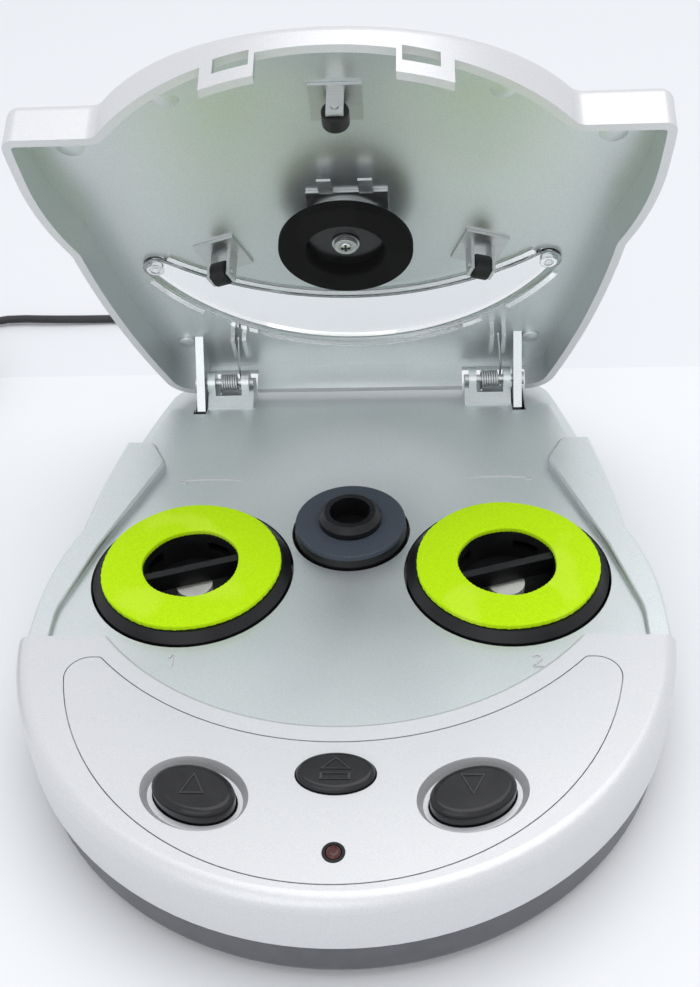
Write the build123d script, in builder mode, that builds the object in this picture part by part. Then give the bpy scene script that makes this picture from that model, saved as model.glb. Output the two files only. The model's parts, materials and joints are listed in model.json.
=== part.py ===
from build123d import *
import os
from math import acos, asin, atan2, ceil, cos, degrees, hypot, pi, radians, sin, sqrt, tan

os.makedirs("parts", exist_ok=True)

# A desktop disc repair machine with its lid standing open. Plan positions are measured from the
# disc spindle (X right, Y to the hinge), heights from the table. Lid sizes are those of the closed
# lid, which the lid planes turn open about the hinge.

# ---------------------------------------------------------------- heights
FOOT_H = 2.0
PAN_FLOOR = 1.8
SEAM_Z = 12.8
DECK_Z = 21.0
DECK_T = 2.2
DISC_Z = 24.5
SHELF_DROP = 1.6

# A cut runs this far past the face that it opens, and a raised form this far into its carrier.
OVERCUT = 1.0
ROOT = 1.0

# ---------------------------------------------------------------- housing outline
BODY_R = 69.9
FRONT_Y = -103.5
EAR_Y = -27.8
KINK_Y = -1.0
LOBE_MID = (61.9, 20.6)
REAR_X = 50.8
REAR_Y = 65.0
KINK_R = 4.0
CORNER_R = 9.0
WALL = 2.0
LOBE_EDGE_R = 4.0
SHELF_Y = 51.6

# ---------------------------------------------------------------- lower pan
PAN_INSET = 1.2
PAN_EDGE_R = 2.4
SEAM_GAP = 0.2
LIP_H = 2.6
LIP_T = 1.3
LIP_GAP = 0.3
FOOT_R = 5.0
FOOT_EDGE_R = 0.5
FOOT_POINTS = [(-46, -66), (46, -66), (-40, 47), (40, 47)]
BOSS_POINTS = [(-48, -70), (48, -70), (-47, 31), (47, 31)]
BOSS_R = 3.4
BOSS_Z = 16.6
BOSS_GAP = 0.2
BOSS_BORE_R = 2.2
BOSS_CAP_T = 3.0
PLATE_POST_R = 4.0
CRADLE_T = 1.5
CRADLE_DROP = 0.8

# ---------------------------------------------------------------- fascia and its control panel
SHOULDER_Y = -41.0
BAY_R = 64.5
FASCIA_WALL = 2.2
PANEL_Z = 27.8
PANEL_TILT = 1.5
PANEL_T = 3.4
FASCIA_EDGE_R = 3.0
BAY_EDGE_R = 0.7
INLAY_T = 1.0
INLAY_GAP = 0.25
INLAY_SEAT = 0.02
INLAY_FRONT_R = 58.0
INLAY_FRONT_Y = -41.5
INLAY_BACK_R = 68.6
INLAY_END_Y = -46.8
INLAY_OUTER_R = 5.0
INLAY_INNER_R = 1.5
DISH_SEMI = (10.7, 8.0)
DISH_DEPTH = 1.8
DISH_SLOPE_W = 1.2
KEY_SEMI = (8.3, 5.4)
KEY_RISE = 1.7
KEY_X = 26.0
KEY_Y = -80.5
KEY_TURN = 19.0
OPEN_SEMI = (7.5, 4.5)
OPEN_X = 0.4
OPEN_Y = -76.2
OPEN_RISE = 1.3
KEY_GAP = 0.3
KEY_FLANGE = 1.2
KEY_FLANGE_T = 1.2
KEY_EDGE_R = 1.3
KEY_EDGE_LAND = 0.2
KEY_STUB_R = 1.8
KEY_STUB_H = 0.8
LED_POINT = (0.8, -93.0)
LED_R = 1.5
BEZEL_R = 2.1
BEZEL_FIT = 0.05
BEZEL_RISE = 0.1
LAMP_RISE = 0.6
LAMP_DOME_R = 0.9
LAMP_BASE_W = 0.4
LAMP_BASE_H = 1.6

# ---------------------------------------------------------------- circuit board
BOARD_TOP_Z = 17.4
BOARD_T = 1.6
BOARD_SIZE = (60.0, 20.0)
BOARD_CORNER_R = 6.0
BOARD_Y = -85.0
SWITCH_SIZE = 6.0
SWITCH_GAP = 1.5
SWITCH_CAP_R = 1.7
SWITCH_CAP_H = 1.0
BOARD_POST_R = 2.5

# ---------------------------------------------------------------- raised wings beside the deck
WING_FRONT_RISE = 0.9
WING_REAR_RISE = 3.0
WING_LINE = [(64.6, -43.0), (64.9, -27.0), (59.5, -6.5), (48.3, 24.5), (52.6, 33.0)]
WING_END_Y = WING_LINE[-1][1]
WING_BEND_R = 22.0
WING_NOSE_R = 3.5
WING_TIP_R = 3.0
WING_EDGE_R = 0.8

# ---------------------------------------------------------------- lid
OPEN_ANGLE = 65.0
HINGE_Y = 57.7
HINGE_Z = 25.4
RIM_Z = 25.0
LID_INSET = 0.5
LID_REAR_Y = 62.9
LID_EAR_Y = -40.6
LID_FRONT_R = 64.0
LID_WALL = 2.0
LID_EDGE_R = 2.5
CROWN_Z = 36.8
CROWN_Y = 5.0
CROWN_R = 700.0
BROW_Y = -42.0
BROW_R = 75.0
EAR_CORNER_R = 2.8
EAR_ROOT_R = 3.5
TAB_X = (13.3, 24.2)
TAB_T = 2.0
TAB_DROP = 5.8
WINDOW_X = (14.4, 21.6)
WINDOW_Z = (1.0, 2.7)
ARM_X = (41.8, 44.0)
ARM_REACH = 11.0
ARM_BACK = 2.4
RIB_LENGTH = 12.0
RIB_BACK = 2.7
RIB_GAP = 1.55
RIB_T = 1.1
RIB_H = 3.6
RIB_NOSE_H = 1.0
LID_ROOT = 0.6
REAR_CUT_GAP = 0.2
BROW_SWEEP = pi / 3

# ---------------------------------------------------------------- hinge blocks and pins
BLOCK_X = (28.8, 41.2)
BLOCK_FOOT_Y = 51.4
BLOCK_FACE_H = 0.4
BLOCK_TOP_Y = 55.2
BLOCK_REAR_Y = 61.8
BLOCK_TOP_Z = 24.0
NOTCH_X = (32.1, 39.2)
NOTCH_FRONT_Y = 54.2
KNUCKLE_R = 3.0
KNUCKLE_T = 2.0
KNUCKLE_INSET = 1.2
PIN_R = 1.0
PIN_FIT = 0.04
PIN_INSET = 0.2
PIN_HEAD_R = 1.7
PIN_HEAD_T = 0.6
PIN_HEAD_GAP = 0.2
ARM_SLOT_X = (41.5, 45.0)
ARM_SLOT_Y = (48.9, 62.2)
SPRING_WIRE = 0.6
SPRING_R = 2.0
SPRING_TURNS = 4
SPRING_PITCH = 1.12
SPRING_ROOM = 0.5
SPRING_SAMPLES = 400
SPRING_STARTS = {"left": -37.8, "right": 33.3}
LEG_GAP = 0.15
LEG_END_GAP = 0.4
LEG_KNEE = (-3.5, 2.4)
LEG_TIP = (-14.5, 5.2)
LEG_RIBS = {"left": -31.4, "right": 37.4}

# ---------------------------------------------------------------- lid window
PANE_OUTER_R = 56.2
PANE_OUTER_Y = -8.7
PANE_INNER_R = 74.6
PANE_INNER_Y = -43.9
PANE_CORNER_R = 2.2
PANE_GAP = 0.2
PANE_FLANGE = 1.5
PANE_FLANGE_T = 1.0
CEILING_GAP = 0.05
EYELET_POINT = (47.8, 14.8)
EYELET_R = 2.4
EYELET_HOLE_R = 0.9

# ---------------------------------------------------------------- disc clamp
CLAMP_R = 15.7
CLAMP_HOLE_R = 9.2
CLAMP_Z = 25.3
CLAMP_T = 4.3
CLAMP_FLOOR_T = 1.2
CLAMP_BOSS_R = 4.0
CLAMP_BOSS_Z = 30.6
CLAMP_EDGE_H = 2.58
CLAMP_BACK_R = 13.2
CLAMP_EDGE_R = 0.5
RING_FIT = 0.02
STEM_R = 1.6
STEM_TOP_Z = 32.9
WASHER_R = 3.2
WASHER_T = 0.5
WASHER_GAP = 0.2
SCREW_HEAD_R = 2.1
SCREW_HEAD_H = 0.6
STEM_ROOM = 0.4
CUP_TOP_R = 9.0
CUP_FACE_R = 7.0
CUP_Z = 31.9
CUP_BEVEL_H = 1.3
PLATE_STAMP = (18.7, 21.0)
PLATE_MID = (0.7, -0.5)
PLATE_STAMP_T = 0.7
PLATE_TABS = (-4.0, 5.2)
PLATE_TAB_W = 3.2
PLATE_TAB_L = 7.0
PLATE_TAB_DROP = 2.6
PLATE_BEND_L = 0.5
PLATE_BEND_DROP = 0.1
SLIDE_FIT = 0.08

# ---------------------------------------------------------------- disc rollers
ROLLER_POINTS = [(-31.0, 11.8), (31.7, 11.3), (0.4, -41.0)]
ROLLER_NAMES = ["left", "right", "front"]
ROLLER_R = 2.9
ROLLER_L = 4.0
ROLLER_Z = 28.6
ROLLER_PIN_R = 0.8
ROLLER_BORE_FIT = 0.05
ROLLER_PIN_OUT = 0.3
ROLLER_EDGE_R = 0.5
FORK_T = 0.8
FORK_W = 3.6
FORK_GAP = 0.25
FORK_TIP = 1.9
FLANGE_SIZE = 11.0
FLANGE_T = 0.8

# ---------------------------------------------------------------- gear train, module one
MODULE = 1.0
PRESSURE = 20.0
ADDENDUM = 0.65
DEDENDUM = 0.95
BACKLASH = 0.12
SPINDLE_TEETH = 54
PAD_TEETH = 24
IDLER_SMALL_TEETH = 14
IDLER_LARGE_TEETH = 34
PINION_TEETH = 10
PAD_ANGLE = -21.8
IDLER_ANGLE = 113.0
PINION_ANGLE = 25.0
PLATE_Z = 8.8
PLATE_T = 1.6
PLATE_PAD_R = 8.0
PLATE_IDLER_R = 7.0
PLATE_HUB_R = 12.0
PLATE_ARM_W = 9.0
GEAR_Z = 11.6
GEAR_T = 2.8
GEAR_OVERLAP = 0.2
GEAR_HOLES = 6
GEAR_HOLE_R = 5.0
GEAR_HOLE_REACH = 16.2
UPPER_GEAR_Z = 15.7
UPPER_GEAR_T = 2.1
COLLAR_R = 3.4
SEAT_GAP = 0.1
AXLE_R = 1.5
AXLE_FIT = 0.05
AXLE_SHORT = 0.2
AXLE_TOP_GAP = 1.0
MOTOR_R = 12.2
MOTOR_TOP_Z = 15.0
MOTOR_SHAFT_R = 1.0
MOTOR_EDGE_R = 0.8
MOTOR_BOSS_R = 3.0
MOTOR_BOSS_H = 0.3
SHAFT_DEPTH = 3.0
SHAFT_GAP = 0.2

# ---------------------------------------------------------------- spindle and pads
HUB_R = 7.4
HUB_NECK_R = 7.1
HUB_NECK_RISE = 0.2
HUB_SLEEVE_R = 6.0
HUB_CAP_T = 1.5
SPINDLE_COLLAR_R = 4.0
HUB_TIP_R = 6.1
HUB_STRAIGHT_H = 1.5
HUB_H = 2.9
HUB_WELL_R = 4.8
HUB_WELL_Z = 22.0
TABLE_R = 13.1
TABLE_SKIRT_R = 13.4
TABLE_T = 1.3
TABLE_SKIRT_DROP = 1.6
TABLE_SKIRT_RISE = 0.4
TABLE_EDGE_R = 0.4
TABLE_WELL_GAP = 0.7
PAD_R = 20.8
PAD_HOLE_R = 11.0
PAD_T = 1.3
PAD_EDGE_R = 0.4
HOLDER_R = 22.9
HOLDER_WALL = 1.5
HOLDER_LOW_Z = 16.9
HOLDER_WELL_GAP = 0.6
HOLDER_FLOOR_T = 1.4
HOLDER_SHOULDER_H = 0.3
HOLDER_RIM_W = 0.3
HOLDER_SLOPE_R = 20.4
HOLDER_SLOPE_DROP = 0.5
CLIP_WINDOW = (6.0, 2.6)
CLIP_LIFT = 2.6
CLIP_TURN = 45.0
DRIVE_HUB_R = 4.2
DRIVE_HUB_Z = 17.6
DRIVE_CAP_T = 0.8
GRIP_W = 2.0
GRIP_LOW_Z = 18.6
GRIP_DROP = 0.2
GRIP_TURN = 18.0

# ---------------------------------------------------------------- latch
LATCH_X = (15.2, 20.8)
LATCH_Z = (22.7, 24.4)
LATCH_RISER_Z = 23.1
LATCH_NOSE_Y = -70.4
LATCH_ROOF_T = 2.2
LATCH_BACK_GAP = 0.35
LATCH_BAR_Y = -71.4
LATCH_BAR_W = 4.0
LATCH_BAR_Z = 17.9
LATCH_STROKE = 2.0
LATCH_BAR_T = 1.7
SLOT_SIDE_GAP = 0.6
SLOT_GAP = 0.5

# ---------------------------------------------------------------- supply lead
JACK_X = -24.0
JACK_Z = 8.0
JACK_SIZE = (9.0, 11.0, 8.4)
JACK_BORE_R = 2.85
JACK_DEPTH = 9.0
JACK_PIN_R = 1.0
JACK_SIDE_GAP = 0.2
CHEEK_T = 1.2
BARREL_R = 2.75
PLUG_R = 3.6
PLUG_L = 15.0
PLUG_GAP = 0.4
PLUG_BORE_R = 1.2
PLUG_TIP_GAP = 0.8
RELIEF_L = 20.0
RELIEF_R = 2.9
RELIEF_TIP_R = 1.8
CORD_R = 1.3
ADAPTER_SIZE = (42.0, 62.0, 27.0)
ADAPTER_EDGE_R = 3.0
ADAPTER_RIM_R = 1.5
ADAPTER_NECK_R = 3.9
ADAPTER_RELIEF_L = 16.0
ADAPTER_X = -192.0
ADAPTER_TIP_Y = 64.0
BLADE_X = 6.35
BLADE_SIZE = (1.5, 6.3)
BLADE_L = 16.0
COIL_CENTRE = (-145.1, 92.1)
COIL_START = 120.0
COIL_OUTER_R = 19.8
COIL_TURNS = 3
COIL_LAYERS = 4
COIL_PITCH = 3.5
COIL_RISE = 3.2
COIL_SAMPLES = 1200
BEND_SHARE = 0.45
TIE_T = 0.6
TIE_GAP = 0.3
TIE_W = 5.0
TIE_CORNER_R = 2.0
COIL_LIFT = 0.7
LEAD_RUN = 33.0
TAIL_RUN = 15.0

# ---------------------------------------------------------------- planes
OPEN = radians(OPEN_ANGLE)
LID_BACK = (0, cos(OPEN), -sin(OPEN))
LID_UP = (0, sin(OPEN), cos(OPEN))
FLANK_Y = FRONT_Y + BODY_R


# The crown is a long arc over the lid; the brow, a smaller arc tangent to it, falls to the front.
CROWN_MID = (CROWN_Y, CROWN_Z - CROWN_R)
brow_share = BROW_R / CROWN_R
brow_top_z = CROWN_MID[1] + sqrt(CROWN_R ** 2 - (BROW_Y - CROWN_Y) ** 2)
BROW_MID = (
    BROW_Y + (CROWN_Y - BROW_Y) * brow_share,
    brow_top_z - (brow_top_z - CROWN_MID[1]) * brow_share,
)


def crown_height(y, depth=0.0):
    """Height of the lid's crown over the table, or of a layer under it."""
    middle, radius = (BROW_MID, BROW_R) if y < BROW_Y else (CROWN_MID, CROWN_R)
    return middle[1] + sqrt((radius - depth) ** 2 - (y - middle[0]) ** 2)


# The open lid's rear edge is the rearmost point; the origin lies midway between it and the front.
edge_y = LID_REAR_Y - LID_EDGE_R - HINGE_Y
edge_z = crown_height(LID_REAR_Y - LID_EDGE_R) - LID_EDGE_R - HINGE_Z
LID_REACH_Y = HINGE_Y + edge_y * cos(OPEN) + edge_z * sin(OPEN) + LID_EDGE_R
SPINDLE_Y = -(FRONT_Y + LID_REACH_Y) / 2


def level(z):
    """Horizontal plane of the base at a height, its origin on the spindle axis."""
    return Plane(origin=(0, SPINDLE_Y, z))


def side(x):
    """Plane across X: first coordinate from the spindle to the back, second the height."""
    return Plane(origin=(x, SPINDLE_Y, 0), x_dir=(0, 1, 0), z_dir=(1, 0, 0))


def front(y):
    """Plane across Y that faces forwards: first coordinate X, second the height."""
    return Plane(origin=(0, SPINDLE_Y + y, 0), x_dir=(1, 0, 0), z_dir=(0, -1, 0))


def panel(depth):
    """Plane parallel to the sloped panel at a depth under it, its origin at the shoulders."""
    tilt = radians(PANEL_TILT)
    down = (0, sin(tilt) * depth, -cos(tilt) * depth)
    origin = (0, SPINDLE_Y + SHOULDER_Y + down[1], PANEL_Z + down[2])
    return Plane(origin=origin, x_dir=(1, 0, 0), z_dir=(0, -sin(tilt), cos(tilt)))


def opened(x, y, z):
    """World position of a point of the closed lid."""
    dy = y - HINGE_Y
    dz = z - HINGE_Z
    back = SPINDLE_Y + HINGE_Y + dy * cos(OPEN) + dz * sin(OPEN)
    return (x, back, HINGE_Z - dy * sin(OPEN) + dz * cos(OPEN))


def lid_level(z):
    """Plane that is horizontal in the closed lid, its origin on the spindle axis."""
    return Plane(origin=opened(0, 0, z), x_dir=(1, 0, 0), z_dir=LID_UP)


def lid_side(x):
    """Plane across X in the closed lid's own (y, z)."""
    return Plane(origin=opened(x, 0, 0), x_dir=LID_BACK, z_dir=(1, 0, 0))


def lid_radial(x, y, z):
    """Plane at a point of the closed lid whose normal points away from the spindle axis."""
    turn = atan2(y, x)
    out = (cos(turn), sin(turn) * LID_BACK[1], sin(turn) * LID_BACK[2])
    across = (-sin(turn), cos(turn) * LID_BACK[1], cos(turn) * LID_BACK[2])
    return Plane(origin=opened(x, y, z), x_dir=across, z_dir=out)


# ---------------------------------------------------------------- plan sketches
def stands_at(vertex, points):
    """Whether a sketch vertex lies on one of the points."""
    return any(hypot(vertex.X - x, vertex.Y - y) < 0.01 for x, y in points)


def housing_outline(inset, rear_y):
    """Egg-shaped front, two rounded ears and a narrower rear lobe."""
    kink_x = sqrt(BODY_R ** 2 - (KINK_Y - EAR_Y) ** 2)
    half_turn = asin((KINK_Y - EAR_Y) / BODY_R) / 2
    ear_mid = (BODY_R * cos(half_turn), EAR_Y + BODY_R * sin(half_turn))
    front_mid = (BODY_R * sin(pi / 4), FLANK_Y - BODY_R * sin(pi / 4))
    with BuildLine() as path:
        ThreePointArc((0, FRONT_Y), front_mid, (BODY_R, FLANK_Y))
        Line((BODY_R, FLANK_Y), (BODY_R, EAR_Y))
        ThreePointArc((BODY_R, EAR_Y), ear_mid, (kink_x, KINK_Y))
        ThreePointArc((kink_x, KINK_Y), LOBE_MID, (REAR_X, REAR_Y))
        Line((REAR_X, REAR_Y), (0, REAR_Y))
        mirror(about=Plane.YZ)
    make_face(path.edges())
    if inset > 0:
        offset(amount=-inset, kind=Kind.INTERSECTION)
    with Locations((0, rear_y)):
        Rectangle(3 * BODY_R, 3 * BODY_R, align=(Align.CENTER, Align.MAX), mode=Mode.INTERSECT)
    fillet(vertices().filter_by(lambda v: abs(v.Y - KINK_Y) < KINK_R), KINK_R + inset)
    fillet(vertices().group_by(Axis.Y)[-1], CORNER_R - inset)


def crescent(grow):
    """Plan of the lid's window: the area between two arcs."""
    with Locations((0, PANE_OUTER_Y)):
        Circle(PANE_OUTER_R)
    with Locations((0, PANE_INNER_Y)):
        Circle(PANE_INNER_R, mode=Mode.SUBTRACT)
    fillet(vertices(), PANE_CORNER_R)
    if grow:
        offset(amount=grow)


def kidney(inset):
    """Plan of the panel inlay, in panel coordinates."""
    with Locations((0, INLAY_FRONT_Y - SHOULDER_Y)):
        Circle(INLAY_FRONT_R)
    with Locations((0, -SHOULDER_Y)):
        Circle(INLAY_BACK_R, mode=Mode.SUBTRACT)
    with Locations((0, INLAY_END_Y - SHOULDER_Y)):
        Rectangle(3 * BODY_R, 3 * BODY_R, align=(Align.CENTER, Align.MAX), mode=Mode.INTERSECT)
    corners = vertices().group_by(Axis.Y)[-1].sort_by(Axis.X)
    fillet(corners[1:3], INLAY_INNER_R)
    corners = vertices().group_by(Axis.Y)[-1].sort_by(Axis.X)
    fillet([corners[0], corners[-1]], INLAY_OUTER_R)
    if inset:
        offset(amount=-inset)


def key_ellipse(place, semi, grow):
    """Ellipse of a button or of its dish, in panel coordinates."""
    x, y, turn = place
    with Locations(Location((x, y - SHOULDER_Y, 0), (0, 0, turn))):
        Ellipse(semi[0] + grow, semi[1] + grow)


CLEAN_KEY = (-KEY_X, KEY_Y, -KEY_TURN)
REPAIR_KEY = (KEY_X, KEY_Y, KEY_TURN)
OPEN_KEY = (OPEN_X, OPEN_Y, 0.0)

# ---------------------------------------------------------------- gears
PITCH_R = {
    "spindle": MODULE * SPINDLE_TEETH / 2,
    "pad": MODULE * PAD_TEETH / 2,
    "idler_small": MODULE * IDLER_SMALL_TEETH / 2,
    "idler_large": MODULE * IDLER_LARGE_TEETH / 2,
    "pinion": MODULE * PINION_TEETH / 2,
}


def polar(radius, angle, centre=(0.0, 0.0)):
    """Point at a radius and an angle in degrees from a centre."""
    a = radians(angle)
    return (centre[0] + radius * cos(a), centre[1] + radius * sin(a))


PAD_REACH = PITCH_R["spindle"] + PITCH_R["pad"]
PAD_POINTS = {
    "left": polar(PAD_REACH, 180 - PAD_ANGLE),
    "right": polar(PAD_REACH, PAD_ANGLE),
}
IDLER_POINT = polar(PITCH_R["spindle"] + PITCH_R["idler_small"], IDLER_ANGLE)
PINION_POINT = polar(PITCH_R["idler_large"] + PITCH_R["pinion"], PINION_ANGLE, IDLER_POINT)


def meshed(angle, driver_phase, driver_teeth, teeth):
    """Phase of a gear that meshes with a driver at the given direction from it."""
    return angle + 180 - (driver_phase - angle) * driver_teeth / teeth + 180 / teeth


def involute(angle):
    return tan(angle) - angle


def gear_outline(teeth, phase, centre):
    """Spur gear with involute flanks, one tooth centred at the phase angle."""
    pitch_r = MODULE * teeth / 2
    base_r = pitch_r * cos(radians(PRESSURE))
    root_r = pitch_r - DEDENDUM * MODULE
    tip_r = pitch_r + ADDENDUM * MODULE
    half_pitch = (pi * MODULE / 2 - BACKLASH) / (2 * pitch_r)
    corners = []
    for tooth in range(teeth):
        middle = phase + 360 * tooth / teeth
        flank = []
        for radius in (root_r, pitch_r, tip_r):
            slope = acos(min(1.0, base_r / radius))
            half = half_pitch + involute(radians(PRESSURE)) - involute(slope)
            flank.append((radius, degrees(half)))
        for radius, half in flank:
            corners.append(polar(radius, middle - half, centre))
        for radius, half in reversed(flank):
            corners.append(polar(radius, middle + half, centre))
    with BuildLine() as path:
        Polyline(*corners, close=True)
    make_face(path.edges())


SPINDLE_PHASE = 0.0
print("pads at", PAD_POINTS, "idler", IDLER_POINT, "pinion", PINION_POINT, "spindle y", SPINDLE_Y)

# ================================================================ base housing
with BuildPart() as pan:
    with BuildSketch(level(FOOT_H)):
        housing_outline(PAN_INSET, REAR_Y - PAN_INSET)
    extrude(amount=SEAM_Z - SEAM_GAP - FOOT_H)
    fillet(faces().sort_by(Axis.Z)[0].edges(), PAN_EDGE_R)
    lip_inset = WALL + LIP_GAP
    with BuildSketch(level(SEAM_Z - SEAM_GAP)):
        housing_outline(lip_inset, REAR_Y - lip_inset)
    extrude(amount=LIP_H)
    inner = lip_inset + LIP_T
    with BuildSketch(level(FOOT_H + PAN_FLOOR)):
        housing_outline(inner, REAR_Y - inner)
    extrude(amount=SEAM_Z + LIP_H, mode=Mode.SUBTRACT)
    # screw columns
    with BuildSketch(level(FOOT_H + PAN_FLOOR)):
        with Locations(*BOSS_POINTS):
            Circle(BOSS_R)
    extrude(amount=BOSS_Z - FOOT_H - PAN_FLOOR)
    with BuildSketch(level(FOOT_H)):
        with Locations(*BOSS_POINTS):
            Circle(BOSS_BORE_R)
    extrude(amount=BOSS_Z - FOOT_H - BOSS_CAP_T, mode=Mode.SUBTRACT)
    # posts under the gear plate and the circuit board
    with BuildSketch(level(FOOT_H + PAN_FLOOR)):
        with Locations((0, 0), PAD_POINTS["left"], PAD_POINTS["right"], IDLER_POINT):
            Circle(PLATE_POST_R)
    extrude(amount=PLATE_Z - FOOT_H - PAN_FLOOR)
    board_half = BOARD_SIZE[0] / 2 - BOARD_POST_R
    with BuildSketch(level(FOOT_H + PAN_FLOOR)):
        with Locations((-board_half, BOARD_Y), (board_half, BOARD_Y)):
            Circle(BOARD_POST_R)
    extrude(amount=BOARD_TOP_Z - BOARD_T - FOOT_H - PAN_FLOOR)
    # cradle of the motor
    with BuildSketch(level(FOOT_H + PAN_FLOOR)):
        with Locations(PINION_POINT):
            Circle(MOTOR_R + SEAT_GAP + CRADLE_T)
            Circle(MOTOR_R + SEAT_GAP, mode=Mode.SUBTRACT)
    extrude(amount=PLATE_Z - FOOT_H - PAN_FLOOR - CRADLE_DROP)
    # cheeks that hold the jack, and its hole in the rear wall
    with BuildSketch(level(FOOT_H + PAN_FLOOR)):
        for cheek in (-1, 1):
            cheek_x = JACK_X + cheek * (JACK_SIZE[0] / 2 + JACK_SIDE_GAP + CHEEK_T / 2)
            with Locations((cheek_x, REAR_Y - inner)):
                Rectangle(CHEEK_T, JACK_SIZE[1], align=(Align.CENTER, Align.MAX))
    extrude(amount=JACK_Z - FOOT_H - PAN_FLOOR)
    with BuildSketch(front(REAR_Y + OVERCUT)):
        with Locations((JACK_X, JACK_Z)):
            Circle(PLUG_R + PLUG_GAP)
    extrude(amount=inner + 2 * OVERCUT, mode=Mode.SUBTRACT)
    pan.part.label = "pan"
export_step(pan.part, "parts/pan.step")

with BuildPart() as deck_block:
    with BuildSketch(level(SEAM_Z)):
        housing_outline(0, REAR_Y)
    extrude(amount=DECK_Z - SEAM_Z)
    fillet(faces().sort_by(Axis.Z)[-1].edges(), LOBE_EDGE_R)

# Raised flanks beside the deck, falling towards the front; they widen to a nose at the rear.
WING_ROOT_Z = DECK_Z - LOBE_EDGE_R - ROOT / 2
with BuildPart() as wings:
    with BuildSketch(level(WING_ROOT_Z)) as wing_plan:
        with BuildLine():
            Polyline(
                *WING_LINE,
                (BODY_R + OVERCUT, WING_END_Y),
                (BODY_R + OVERCUT, WING_LINE[0][1]),
                close=True,
            )
        make_face()
        for corners, radius in (
            (WING_LINE[1:3], WING_BEND_R),
            (WING_LINE[3:4], WING_NOSE_R),
            (WING_LINE[4:], WING_TIP_R),
        ):
            fillet([v for v in wing_plan.vertices() if stands_at(v, corners)], radius)
        mirror(about=Plane.YZ)
        with BuildSketch(mode=Mode.PRIVATE) as whole_plan:
            housing_outline(0, REAR_Y)
        add(whole_plan.sketch, mode=Mode.INTERSECT)
    extrude(amount=DECK_Z + 2 * WING_REAR_RISE - WING_ROOT_Z)
    with BuildSketch(side(-BODY_R - OVERCUT)):
        with BuildLine():
            Polyline(
                (WING_LINE[0][1] - OVERCUT, WING_ROOT_Z - OVERCUT),
                (WING_END_Y + OVERCUT, WING_ROOT_Z - OVERCUT),
                (WING_END_Y + OVERCUT, DECK_Z + WING_REAR_RISE),
                (WING_LINE[0][1] - OVERCUT, DECK_Z + WING_FRONT_RISE),
                close=True,
            )
        make_face()
    extrude(amount=2 * BODY_R + 2 * OVERCUT, mode=Mode.INTERSECT)
    wing_tops = faces().sort_by(Axis.Z)[-2:]
    fillet(wing_tops.edges(), WING_EDGE_R)

# Fascia in front of the round bay, under a panel that falls forwards.
with BuildPart() as fascia:
    with BuildSketch(level(WING_ROOT_Z)):
        housing_outline(0, REAR_Y)
        Circle(BAY_R, mode=Mode.SUBTRACT)
        with Locations((0, SHOULDER_Y)):
            Rectangle(3 * BODY_R, 3 * BODY_R, align=(Align.CENTER, Align.MAX), mode=Mode.INTERSECT)
    extrude(amount=PANEL_Z + 2 * OVERCUT - WING_ROOT_Z)
    split(bisect_by=panel(0), keep=Keep.BOTTOM)
    panel_top = faces().sort_by(Axis.Z)[-1]
    fillet(panel_top.edges().sort_by(SortBy.LENGTH)[-1], FASCIA_EDGE_R)
    panel_top = faces().sort_by(Axis.Z)[-1]
    fillet(panel_top.edges().sort_by(SortBy.LENGTH)[-2], BAY_EDGE_R)

with BuildPart() as fascia_hollow:
    with BuildSketch(level(SEAM_Z)):
        housing_outline(FASCIA_WALL, REAR_Y - FASCIA_WALL)
        Circle(BAY_R + FASCIA_WALL, mode=Mode.SUBTRACT)
        with Locations((0, SHOULDER_Y - FASCIA_WALL)):
            Rectangle(3 * BODY_R, 3 * BODY_R, align=(Align.CENTER, Align.MAX), mode=Mode.INTERSECT)
    extrude(amount=PANEL_Z + 2 * OVERCUT - SEAM_Z)
    split(bisect_by=panel(PANEL_T), keep=Keep.BOTTOM)
print("fascia", fascia.part.volume, "hollow", fascia_hollow.part.volume, "wings", wings.part.volume)

UNDER_DECK = DECK_Z - DECK_T
KNUCKLE_X = BLOCK_X[0] + KNUCKLE_INSET
KNUCKLES = ((KNUCKLE_X, KNUCKLE_X + KNUCKLE_T), (BLOCK_X[1] - KNUCKLE_T, BLOCK_X[1]))
NOTCH_Z = HINGE_Z - SPRING_R - SPRING_WIRE - SPRING_ROOM
TABLE_WELL_R = TABLE_SKIRT_R + TABLE_WELL_GAP
PAD_WELL_R = HOLDER_R + HOLDER_WELL_GAP

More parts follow.
